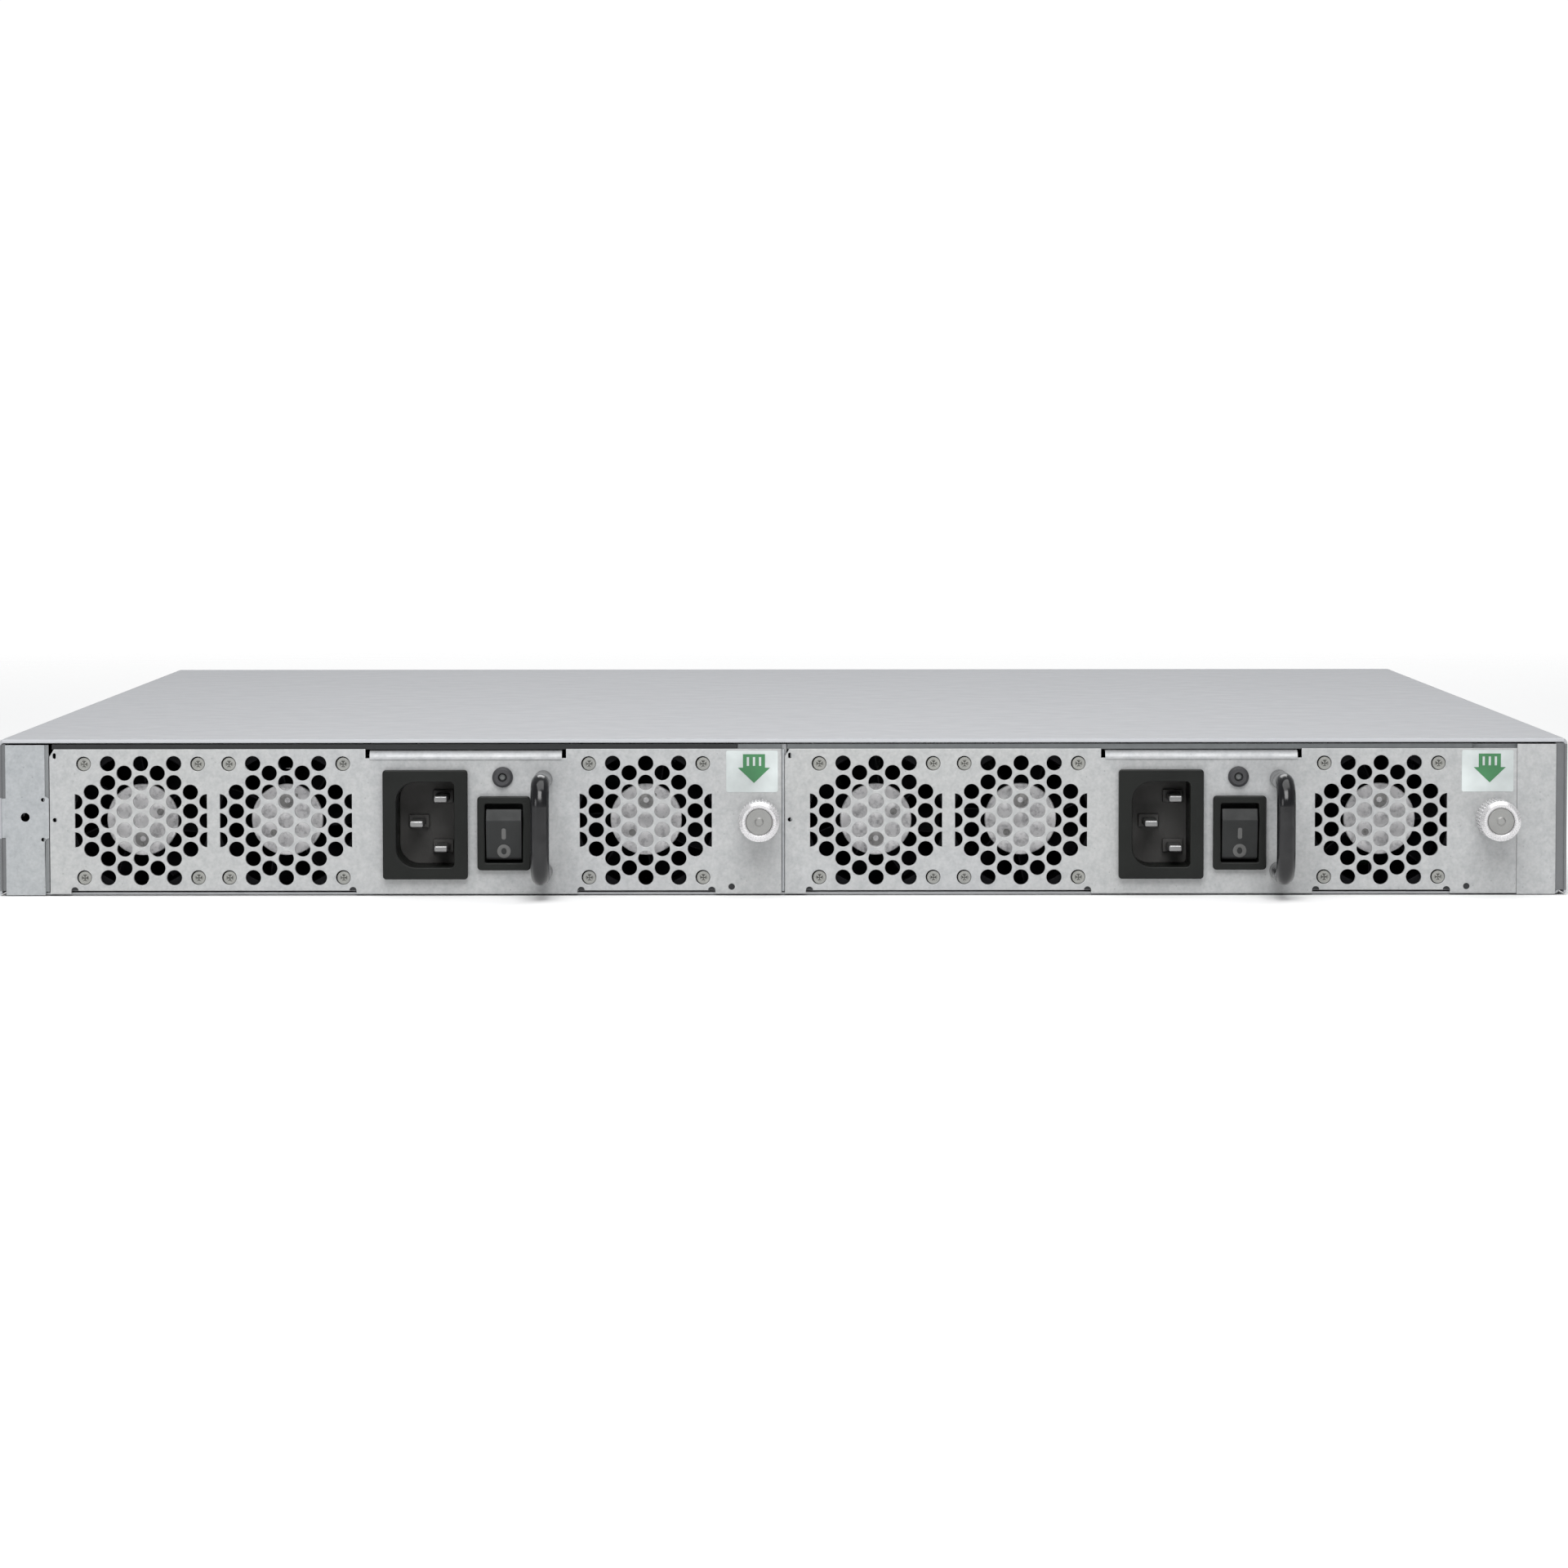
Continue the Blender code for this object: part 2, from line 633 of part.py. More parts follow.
def bay_connector(number, left_x):
    """The socket at the edge of the main board that a module plugs into."""
    x = left_x + PLUG_CENTRE_X
    slot = box(
        wider(x - PLUG_HALF_WIDTH, x + PLUG_HALF_WIDTH, 2 * CLEAR),
        (SOCKET_Y[0] - CLEAR, PLUG_END_Y + JOIN_DEPTH),
        wider(*PLUG_Z, 2 * CLEAR),
    )
    body = box(wider(x, x, SOCKET_HALF_WIDTH), SOCKET_Y, (ON_BOARD, ON_BOARD + SOCKET_HEIGHT))
    solid(f"bay_connector_{number}", BLACK_PLASTIC, body, cuts=[slot])


# Modules. Every X below is measured from the left edge of the module's faceplate.


def grille_holes(centre_x):
    """The round holes in front of one fan, and the half holes at the ends of its middle rows."""
    cut_y = wider(MODULE_SIDE, PLATE_BACK_Y)
    holes = []
    for column, count in HOLES_IN_COLUMN.items():
        for side in {-1, 1} if column else {1}:
            x = centre_x + side * column * COLUMN_PITCH
            for i in range(count):
                z = FAN_CENTRE_Z + (i - (count - 1) / 2) * HOLE_PITCH
                holes.append(prism("Y", polygon((x, z), HOLE_RADIUS, HOLE_SIDES), *cut_y))
    for side in (-1, 1):
        x = centre_x + side * HALF_HOLE_COLUMN * COLUMN_PITCH
        for i in range(HALF_HOLES):
            z = FAN_CENTRE_Z + (i - (HALF_HOLES - 1) / 2) * HOLE_PITCH
            ring = polygon((x, z), HOLE_RADIUS, HOLE_SIDES, side * math.pi / 2)
            holes.append(prism("Y", ring[: HOLE_SIDES // 2 + 1], *cut_y))
    return holes


def faceplate(prefix, slide):
    cut_y = wider(MODULE_SIDE, PLATE_BACK_Y)
    cuts = []
    for centre_x in FAN_CENTRES_X:
        cuts += grille_holes(centre_x)
    inlet_x = (INLET_X[0] + INLET_LIP - CLEAR, INLET_X[1] - INLET_LIP + CLEAR)
    inlet_z = (INLET_Z[0] + INLET_LIP - CLEAR, INLET_Z[1] - INLET_LIP + CLEAR)
    cuts.append(box(inlet_x, cut_y, inlet_z))
    switch_x = (SWITCH_X[0] + SWITCH_LIP - CLEAR, SWITCH_X[1] - SWITCH_LIP + CLEAR)
    switch_z = (SWITCH_Z[0] + SWITCH_LIP - CLEAR, SWITCH_Z[1] - SWITCH_LIP + CLEAR)
    cuts.append(box(switch_x, cut_y, switch_z))
    cuts.append(rod("Y", (LED_X, LED_Z), LED_BARREL_RADIUS + CLEAR, *cut_y, 10))
    for z in HANDLE_Z:
        leg_z = z + math.copysign(HANDLE_RADIUS, sum(HANDLE_Z) / 2 - z)
        cuts.append(rod("Y", (HANDLE_X, leg_z), HANDLE_PEG_RADIUS + CLEAR, *cut_y, 8))
    cuts.append(rod("Y", (SCREW_X, SCREW_Z), FERRULE_BARREL_RADIUS + CLEAR, *cut_y, 12))
    plate = box((0.0, PLATE_WIDTH), (MODULE_SIDE, PLATE_BACK_Y), (PLATE_BOTTOM, PLATE_TOP))
    solid(f"{prefix}_faceplate", PLATE_PAINT, plate, cuts=cuts, parent=slide)


def tray(prefix, slide):
    """The module's floor and side walls. The floor is open below each fan, which stands in the opening."""
    left, right, bottom, top, sheet = TRAY_LEFT, TRAY_RIGHT, TRAY_BOTTOM, TRAY_WALL_TOP, TRAY_SHEET
    outline = [
        (left, bottom),
        (right, bottom),
        (right, top),
        (right - sheet, top),
        (right - sheet, bottom + sheet),
        (left + sheet, bottom + sheet),
        (left + sheet, top),
        (left, top),
    ]
    reach = FAN_SIZE / 2 + 2 * CLEAR
    fan_y = (PLATE_BACK_Y - CLEAR, FAN_FRONT_Y + FAN_LENGTH + 2 * CLEAR)
    cuts = [box((x - reach, x + reach), fan_y, (0.0, bottom + 2 * sheet)) for x in FAN_CENTRES_X]
    board_posts = [
        rod("Z", (x, y), BOARD_POST_RADIUS, bottom + sheet / 2, POWER_BOARD_Z[0] - CLEAR, 8)
        for x in BOARD_POST_X
        for y in BOARD_POST_Y
    ]
    shape = prism("Y", outline, PLATE_BACK_Y + CLEAR, MODULE_END_Y)
    solid(f"{prefix}_tray", ZINC, shape, board_posts, cuts, parent=slide)


def module_cover(prefix, slide):
    """The lid over the power supply, with a bulkhead that parts it from the fans' air duct."""
    y = (FAN_FRONT_Y + FAN_LENGTH + 2 * CLEAR, MODULE_END_Y)
    lid = box((BULKHEAD_X, TRAY_RIGHT), y, LID_Z)
    bulkhead = box(
        (BULKHEAD_X, BULKHEAD_X + TRAY_SHEET),
        y,
        (TRAY_BOTTOM + TRAY_SHEET + CLEAR, LID_Z[0] + TRAY_SHEET / 2),
    )
    solid(f"{prefix}_cover", ZINC, lid, [bulkhead], parent=slide)


def power_supply(prefix, slide):
    """The board and the large parts on it, and the edge connector that enters the bay's socket."""
    board_x = (BULKHEAD_X + POWER_BOARD_MARGIN, TRAY_RIGHT - POWER_BOARD_MARGIN)
    board = box(board_x, POWER_BOARD_Y, POWER_BOARD_Z)
    solid(f"{prefix}_power_board", CIRCUIT_BOARD, board, parent=slide)

    core = box(CORE_X, CORE_Y, (ON_POWER_BOARD, CORE_TOP))
    winding_z = (ON_POWER_BOARD + WINDING_SETBACK, CORE_TOP - WINDING_SETBACK)
    winding = box(WINDING_X, WINDING_Y, winding_z)
    solid(f"{prefix}_transformer", COPPER_TAPE, core, [winding], parent=slide)

    barrel = rod("Z", CAPACITOR_CENTRE, CAPACITOR_RADIUS, ON_POWER_BOARD, CAPACITOR_TOP, 20)
    solid(f"{prefix}_bulk_capacitor", CAPACITOR_SLEEVE, barrel, parent=slide, smooth=True)

    root = ON_POWER_BOARD + COOLER_BASE
    fins = finned_outline(COOLER_X, ON_POWER_BOARD, root, COOLER_TOP, COOLER_FINS)
    solid(f"{prefix}_heatsink", ALUMINIUM, prism("Y", fins, *COOLER_Y), parent=slide)

    x = (PLUG_CENTRE_X - PLUG_HALF_WIDTH, PLUG_CENTRE_X + PLUG_HALF_WIDTH)
    block = box(x, PLUG_BLOCK_Y, (ON_POWER_BOARD, ON_POWER_BOARD + SOCKET_HEIGHT))
    tongue = box(wider(*x, -CLEAR), (PLUG_TONGUE_START_Y, PLUG_END_Y), PLUG_Z)
    solid(f"{prefix}_edge_connector", BLACK_PLASTIC, block, [tongue], parent=slide)


def power_inlet(prefix, slide):
    """A three-pin mains inlet turned a quarter turn, so that the earth pin is on the left."""
    centre_x = sum(INLET_X) / 2
    centre_z = sum(INLET_Z) / 2
    front_y = MODULE_SIDE - CLEAR - INLET_FLANGE
    flange = box(INLET_X, (front_y, MODULE_SIDE - CLEAR), INLET_Z)
    body = box(
        (INLET_X[0] + INLET_LIP, INLET_X[1] - INLET_LIP),
        (front_y + INLET_FLANGE / 2, front_y + INLET_LENGTH),
        (INLET_Z[0] + INLET_LIP, INLET_Z[1] - INLET_LIP),
    )
    half_x, half_z = INLET_CAVITY_HALF
    cavity = [
        (centre_x + half_x, centre_z - half_z),
        (centre_x + half_x, centre_z + half_z),
        (centre_x - half_x + INLET_CHAMFER, centre_z + half_z),
        (centre_x - half_x, centre_z + half_z - INLET_CHAMFER),
        (centre_x - half_x, centre_z - half_z + INLET_CHAMFER),
        (centre_x - half_x + INLET_CHAMFER, centre_z - half_z),
    ]
    cavity_end = front_y + INLET_CAVITY_LENGTH
    shell = solid(
        f"{prefix}_power_inlet",
        BLACK_PLASTIC,
        flange,
        [body],
        [prism("Y", cavity, front_y - CLEAR, cavity_end)],
        parent=slide,
    )
    pins = []
    for x, z in (EARTH_PIN, *LIVE_PINS):
        x_extent = (centre_x + x - PIN_HALF[0], centre_x + x + PIN_HALF[0])
        z_extent = (centre_z + z - PIN_HALF[1], centre_z + z + PIN_HALF[1])
        pins.append(box(x_extent, (front_y + PIN_TIP_SETBACK, cavity_end + JOIN_DEPTH), z_extent))
    combine(shell, "UNION", pins)


def rocker_switch(prefix, slide):
    """The switch's housing, and its rocker on a joint across the middle of the mouth."""
    centre_x = sum(SWITCH_X) / 2
    centre_z = sum(SWITCH_Z) / 2
    front_y = MODULE_SIDE - CLEAR - SWITCH_FLANGE
    flange = box(SWITCH_X, (front_y, MODULE_SIDE - CLEAR), SWITCH_Z)
    body = box(
        (SWITCH_X[0] + SWITCH_LIP, SWITCH_X[1] - SWITCH_LIP),
        (front_y + SWITCH_FLANGE / 2, front_y + SWITCH_LENGTH),
        (SWITCH_Z[0] + SWITCH_LIP, SWITCH_Z[1] - SWITCH_LIP),
    )
    mouth_x = (centre_x - ROCKER_WIDTH / 2 - CLEAR, centre_x + ROCKER_WIDTH / 2 + CLEAR)
    mouth_z = (centre_z - ROCKER_HALF_HEIGHT - 2 * CLEAR, centre_z + ROCKER_HALF_HEIGHT + 2 * CLEAR)
    mouth = box(mouth_x, (front_y - CLEAR, front_y + SWITCH_MOUTH_LENGTH), mouth_z)
    solid(f"{prefix}_switch_body", BLACK_PLASTIC, flange, [body], [mouth], parent=slide)

    pivot = (centre_x, front_y + ROCKER_PIVOT_SETBACK, centre_z)
    joint = empty(f"{prefix}_rocker_joint", pivot, slide)
    bar = prism("X", rocker_outline(), -ROCKER_WIDTH / 2, ROCKER_WIDTH / 2)
    solid(f"{prefix}_rocker", BLACK_PLASTIC, bar, parent=joint)


def rocker_outline():
    """A barely hollow front and a round heel behind, about the pivot, with the upper end standing out."""
    end_y, end_z = ROCKER_END
    level = [(end_y, end_z), (ROCKER_VALLEY_Y, 0.0), (end_y, -end_z)]
    level += [(ROCKER_HEEL[0] * math.sin(a), -ROCKER_HEEL[1] * math.cos(a)) for a in HEEL_ANGLES]
    cosine, sine = math.cos(ROCKER_TILT), math.sin(ROCKER_TILT)
    return [(y * cosine - z * sine, y * sine + z * cosine) for y, z in level]


def status_led(prefix, slide):
    """A light in a round holder."""
    seat_y = MODULE_SIDE - CLEAR
    profile = [
        (0.0, seat_y - LED_REACH),
        (LED_BARREL_RADIUS, seat_y - LED_REACH),
        (LED_RADIUS, seat_y - LED_REACH / 3),
        (LED_RADIUS, seat_y),
        (LED_BARREL_RADIUS, seat_y),
        (LED_BARREL_RADIUS, MODULE_SIDE + LED_LENGTH),
        (0.0, MODULE_SIDE + LED_LENGTH),
    ]
    shape = turned((LED_X, LED_Z), profile, 12)
    solid(f"{prefix}_status_led", FAN_PLASTIC, shape, parent=slide, smooth=True)


def handle(prefix, slide):
    """A round bar bent to a U, with a thinner peg on each leg that goes through the faceplate."""
    bottom, top = HANDLE_Z[0] + HANDLE_RADIUS, HANDLE_Z[1] - HANDLE_RADIUS
    root_y = MODULE_SIDE - CLEAR
    bar_y = MODULE_SIDE - HANDLE_REACH + HANDLE_RADIUS
    bend = HANDLE_BEND_RADIUS
    route = [(root_y, top)]
    for i in range(BEND_STEPS + 1):
        angle = math.pi / 2 * i / BEND_STEPS
        route.append((bar_y + bend - bend * math.sin(angle), top - bend + bend * math.cos(angle)))
    for i in range(BEND_STEPS + 1):
        angle = math.pi / 2 * i / BEND_STEPS
        route.append((bar_y + bend - bend * math.cos(angle), bottom + bend - bend * math.sin(angle)))
    route.append((root_y, bottom))
    pegs = [
        rod("Y", (HANDLE_X, z), HANDLE_PEG_RADIUS, root_y - JOIN_DEPTH, HANDLE_PEG_END_Y, 8)
        for z in (bottom, top)
    ]
    solid(f"{prefix}_handle", BLACK_COAT, bent_bar(route), pegs, parent=slide, smooth=True)


def bent_bar(route):
    """A round bar along a route of (y, z) points in the plane X = HANDLE_X."""

    def draw(mesh):
        rings = []
        for i, (y, z) in enumerate(route):
            before = Vector(route[max(i - 1, 0)])
            after = Vector(route[min(i + 1, len(route) - 1)])
            along = (after - before).normalized()
            across = Vector((0, -along.y, along.x))
            centre = Vector((HANDLE_X, y, z))
            ring = []
            for u, v in polygon((0, 0), HANDLE_RADIUS, HANDLE_SIDES):
                ring.append(mesh.verts.new(centre + u * Vector((1, 0, 0)) + v * across))
            rings.append(ring)
        faces = [mesh.faces.new(rings[0]), mesh.faces.new(rings[-1])]
        for near, far in zip(rings, rings[1:]):
            for i in range(HANDLE_SIDES):
                j = (i + 1) % HANDLE_SIDES
                faces.append(mesh.faces.new((near[i], near[j], far[j], far[i])))
        bmesh.ops.recalc_face_normals(mesh, faces=faces)

    return draw


def thumbscrew(prefix, slide):
    """A captive screw: a hollow knob over a ferrule in the faceplate, with a thrust washer inside."""
    ferrule_y = MODULE_SIDE - CLEAR - FERRULE_LENGTH
    ferrule = [
        (FERRULE_BORE_RADIUS, ferrule_y),
        (FERRULE_BARREL_RADIUS, ferrule_y),
        (FERRULE_BARREL_RADIUS, FERRULE_FLANGE_START_Y),
        (FERRULE_FLANGE_RADIUS, FERRULE_FLANGE_START_Y),
        (FERRULE_FLANGE_RADIUS, MODULE_SIDE - CLEAR),
        (FERRULE_BARREL_RADIUS, MODULE_SIDE - CLEAR),
        (FERRULE_BARREL_RADIUS, PLATE_BACK_Y - CLEAR),
        (FERRULE_BORE_RADIUS, PLATE_BACK_Y - CLEAR),
    ]
    tube = turned_tube((SCREW_X, SCREW_Z), ferrule)
    solid(f"{prefix}_thumbscrew_ferrule", NICKEL, tube, parent=slide, smooth=True)

    joint = empty(f"{prefix}_thumbscrew_joint", (SCREW_X, MODULE_SIDE, SCREW_Z), slide)
    knob_front = -KNOB_REACH
    cavity_y = ferrule_y - MODULE_SIDE - 2 * CLEAR - WASHER_THICKNESS - CLEAR
    knob = [
        (0.0, knob_front),
        (KNOB_RADIUS - KNOB_CHAMFER, knob_front),
        (KNOB_RADIUS, knob_front + KNOB_CHAMFER),
        (KNOB_RADIUS, KNOB_SKIRT_Y),
        (KNOB_CAVITY_RADIUS, KNOB_SKIRT_Y),
        (KNOB_CAVITY_RADIUS, cavity_y),
        (SCREW_RADIUS, cavity_y),
        (SCREW_RADIUS, SCREW_TIP_Y - MODULE_SIDE),
        (0.0, SCREW_TIP_Y - MODULE_SIDE),
    ]
    solid(f"{prefix}_thumbscrew", NICKEL, turned((0, 0), knob, KNOB_SIDES), parent=joint, smooth=True)

    washer_y = (cavity_y + CLEAR, cavity_y + CLEAR + WASHER_THICKNESS)
    disc = rod("Y", (0, 0), FERRULE_BARREL_RADIUS, *washer_y, 12)
    bore = rod("Y", (0, 0), FERRULE_BORE_RADIUS, washer_y[0] - CLEAR, washer_y[1] + CLEAR, 12)
    solid(f"{prefix}_thumbscrew_washer", BLACK_PLASTIC, disc, cuts=[bore], parent=joint)


def turned_tube(axis, section):
    """A closed section of (radius, y) points turned about the Y axis through the (x, z) point axis."""

    def draw(mesh):
        rings = []
        for radius, y in section:
            ring = polygon(axis, radius, KNOB_SIDES)
            rings.append([mesh.verts.new((u, y, v)) for u, v in ring])
        faces = []
        for near, far in zip(rings, rings[1:] + rings[:1]):
            for i in range(KNOB_SIDES):
                j = (i + 1) % KNOB_SIDES
                faces.append(mesh.faces.new((near[i], near[j], far[j], far[i])))
        bmesh.ops.recalc_face_normals(mesh, faces=faces)

    return draw


def fan(prefix, number, centre_x, slide):
    """A square fan: a frame whose spider holds the motor, and a bladed rotor on the motor's shaft."""
    half = FAN_SIZE / 2
    corner = FAN_CORNER_RADIUS
    end_y = FAN_FRONT_Y + FAN_LENGTH
    spider_y = end_y - SPIDER_LENGTH
    axis = (centre_x, FAN_CENTRE_Z)
    outline = []
    for x_side, z_side in ((1, -1), (1, 1), (-1, 1), (-1, -1)):
        first = (centre_x + x_side * (half - corner), FAN_CENTRE_Z + z_side * half)
        second = (centre_x + x_side * half, FAN_CENTRE_Z + z_side * (half - corner))
        outline += [first, second] if x_side * z_side < 0 else [second, first]
    bore = rod("Y", axis, FAN_BORE_RADIUS, FAN_FRONT_Y - CLEAR, end_y + CLEAR, 24)
    shape = prism("Y", outline, FAN_FRONT_Y, end_y)
    frame = solid(f"{prefix}_fan_{number}_frame", FAN_PLASTIC, shape, cuts=[bore], parent=slide)
    arm = SPIDER_ARM / 2
    reach = FAN_BORE_RADIUS + SPIDER_OVERLAP
    arms_y = (spider_y, end_y)
    middle_x, middle_z = (centre_x, centre_x), (FAN_CENTRE_Z, FAN_CENTRE_Z)
    spider = [
        box(wider(*middle_x, reach), arms_y, wider(*middle_z, arm)),
        box(wider(*middle_x, arm), arms_y, wider(*middle_z, reach)),
        rod("Y", axis, SPIDER_RADIUS, *arms_y, 16),
        rod("Y", axis, MOTOR_RADIUS, MOTOR_FACE_Y, spider_y + JOIN_DEPTH, 12),
    ]
    bearing = rod("Y", axis, BEARING_RADIUS, HUB_FACE_Y, end_y - BEARING_FLOOR, 8)
    combine(frame, "UNION", spider)
    combine(frame, "DIFFERENCE", [bearing])

    joint = empty(f"{prefix}_fan_{number}_joint", (centre_x, HUB_FACE_Y, FAN_CENTRE_Z), slide)
    hub = [
        (0.0, 0.0),
        (HUB_RADIUS - HUB_CHAMFER, 0.0),
        (HUB_RADIUS, HUB_CHAMFER),
        (HUB_RADIUS, HUB_LENGTH),
        (HUB_RADIUS - HUB_SKIN, HUB_LENGTH),
        (HUB_RADIUS - HUB_SKIN, HUB_SKIN),
        (SHAFT_RADIUS, HUB_SKIN),
        (SHAFT_RADIUS, HUB_LENGTH),
        (0.0, HUB_LENGTH),
    ]
    blades = [blade(2 * math.pi * i / BLADES) for i in range(BLADES)]
    name = f"{prefix}_fan_{number}_rotor"
    solid(name, FAN_PLASTIC, turned((0, 0), hub, 16), blades, parent=joint, smooth=True)


def blade(angle):
    """One blade: a plate twisted from root to tip, set round the hub at an angle."""
    corners = []
    for radius, sweep in BLADE_SWEEP.items():
        for y, side in zip(BLADE_Y, (-1, 1)):
            for offset in (-BLADE_SHEET / 2, BLADE_SHEET / 2):
                turn = angle + side * sweep + offset / radius
                corners.append((radius * math.cos(turn), y, radius * math.sin(turn)))
    return hull(corners)


def module(number, left_x):
    """A power-and-fan module, drawn under an empty that marks where its slide joint starts."""
    prefix = f"psu_{number}"
    slide = empty(f"{prefix}_slide", (left_x, 0, 0))
    faceplate(prefix, slide)
    tray(prefix, slide)
    module_cover(prefix, slide)
    power_supply(prefix, slide)
    power_inlet(prefix, slide)
    rocker_switch(prefix, slide)
    status_led(prefix, slide)
    handle(prefix, slide)
    thumbscrew(prefix, slide)
    for fan_number, centre_x in enumerate(FAN_CENTRES_X, 1):
        fan(prefix, fan_number, centre_x, slide)


def main():
    clear_scene()
    chassis_base()
    top_cover()
    port_panel()
    main_board()
    switch_chip_and_heatsink()
    bay_divider()
    for number, centre_x in enumerate(CAGE_CENTRES_X, 1):
        sfp_cage(number, centre_x)
    for name, centre_x in JACK_CENTRES_X.items():
        modular_jack(name, centre_x)
    usb_port()
    status_light_pipe()
    for number, left_x in enumerate(MODULE_LEFTS_X, 1):
        bay_connector(number, left_x)
        module(number, left_x)


main()
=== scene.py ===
"""Looks of the rackmount network switch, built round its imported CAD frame."""

import math
import random

import bmesh
import bpy
from mathutils import Matrix, Vector


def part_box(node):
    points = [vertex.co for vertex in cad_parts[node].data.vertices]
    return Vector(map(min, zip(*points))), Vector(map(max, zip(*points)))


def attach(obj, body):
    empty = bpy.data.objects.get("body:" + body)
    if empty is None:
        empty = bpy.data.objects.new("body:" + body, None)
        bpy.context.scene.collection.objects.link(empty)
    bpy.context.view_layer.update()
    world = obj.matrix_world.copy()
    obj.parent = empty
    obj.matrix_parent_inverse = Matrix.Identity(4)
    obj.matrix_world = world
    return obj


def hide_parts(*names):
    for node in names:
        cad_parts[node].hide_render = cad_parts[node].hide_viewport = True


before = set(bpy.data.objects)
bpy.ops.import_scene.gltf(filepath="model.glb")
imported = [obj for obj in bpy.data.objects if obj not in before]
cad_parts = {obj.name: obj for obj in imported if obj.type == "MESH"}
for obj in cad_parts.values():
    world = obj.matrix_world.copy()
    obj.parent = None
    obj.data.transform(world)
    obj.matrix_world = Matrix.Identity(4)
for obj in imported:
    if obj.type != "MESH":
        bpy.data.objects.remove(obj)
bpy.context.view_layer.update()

MM = 0.001
SHARP = 30.0
SHEET = 0.8
MODULES = (1, 2)
CAGES = ("sfp_cage_1", "sfp_cage_2")
PORT_COLUMNS = 5
PORT_PITCH = 14.25
JACKS = ("management_jack", "console_jack")
LIGHTS_X = (166, 176, 186)
RAIL_HOLES_Y = (-190, 0, 190)
BOARD_SCREWS = [(x, y) for x in (-200, -5, 200) for y in (25, 130)]


def extents(node):
    """Lowest and highest corner of a CAD node, in millimetres."""
    low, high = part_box(node)
    return low / MM, high / MM


FACE = extents("top_cover")[0].y
HALF_WIDTH = extents("top_cover")[1].x

# On a faceplate, in millimetres. Every X is measured from its left edge.
FANS_X = (25.6, 66.3, 167.3)
FAN_Z = 21.0
HOLE_PITCH = 5.35
COLUMN_PITCH = HOLE_PITCH * math.cos(math.radians(30))
HOLE_RADIUS = 2.15
INLET_X = (93.6, 117.4)
INLET_Z = (4.6, 35.3)
PINS = ((-2.6, 0.0), (4.2, 7.0), (4.2, -7.0))
SWITCH_X = (120.1, 135.0)
SWITCH_Z = (7.1, 27.9)
LED = (127.2, 33.2)
SCREW = (199.2, 21.5)
FAN_SCREW_REACH = 16
QUARTERS = [(i, j) for i in (-1, 1) for j in (-1, 1)]
FAN_SCREWS = [(x + FAN_SCREW_REACH * i, FAN_Z + FAN_SCREW_REACH * j) for x in FANS_X for i, j in QUARTERS]
FAN_SCREW_RADIUS = 2.05


# Camera, light and floor


def set_camera():
    """Square on to the module side, from 1.5 m away and a little above the cover."""
    place = Matrix.Translation((1.43 * MM, (FACE - 1508.6) * MM, 129.43 * MM))
    yaw = Matrix.Rotation(math.radians(0.0423), 4, "Z")
    pitch = Matrix.Rotation(math.radians(86.2748), 4, "X")
    roll = Matrix.Rotation(math.radians(-0.0532), 4, "Z")
    camera = bpy.data.objects.new("camera", bpy.data.cameras.new("camera"))
    bpy.context.scene.collection.objects.link(camera)
    camera.matrix_world = place @ yaw @ pitch @ roll
    camera.data.lens = 123.718
    camera.data.sensor_width = 36
    camera.data.clip_end = 100
    bpy.context.scene.camera = camera


def add_light(name, location, target, size, watts):
    data = bpy.data.lights.new(name, "AREA")
    data.shape = "RECTANGLE"
    data.size, data.size_y = size
    data.energy = watts
    lamp = bpy.data.objects.new(name, data)
    bpy.context.scene.collection.objects.link(lamp)
    lamp.location = location
    lamp.rotation_euler = (Vector(target) - Vector(location)).to_track_quat("-Z", "Y").to_euler()


def set_light():
    """A white room, large soft boxes overhead, in front and behind, and a weak one from the left."""
    world = bpy.data.worlds.new("studio")
    bpy.context.scene.world = world
    world.use_nodes = True
    nodes, links = world.node_tree.nodes, world.node_tree.links
    nodes.clear()
    room, backdrop = nodes.new("ShaderNodeBackground"), nodes.new("ShaderNodeBackground")
    room.inputs["Color"].default_value = (0.97, 0.985, 1.0, 1)
    room.inputs["Strength"].default_value = 0.30
    backdrop.inputs["Color"].default_value = (1, 1, 1, 1)
    backdrop.inputs["Strength"].default_value = 1.05
    mix, path = nodes.new("ShaderNodeMixShader"), nodes.new("ShaderNodeLightPath")
    output = nodes.new("ShaderNodeOutputWorld")
    links.new(path.outputs["Is Camera Ray"], mix.inputs["Fac"])
    links.new(room.outputs[0], mix.inputs[1])
    links.new(backdrop.outputs[0], mix.inputs[2])
    links.new(mix.outputs[0], output.inputs["Surface"])
    add_light("overhead", (0.1, -0.3, 1.5), (0, 0, 0), (1.8, 1.2), 13)
    add_light("key", (0, -1.40, 1.10), (0, -0.2, 0), (1.1, 0.9), 19)
    add_light("back", (0, 1.50, 1.20), (0, 0.2, 0), (1.1, 0.9), 9)
    add_light("fill", (-1.4, -1.4, 0.40), (0, -0.2, 0), (0.6, 0.6), 3)
    bpy.context.scene.view_settings.view_transform = "Standard"


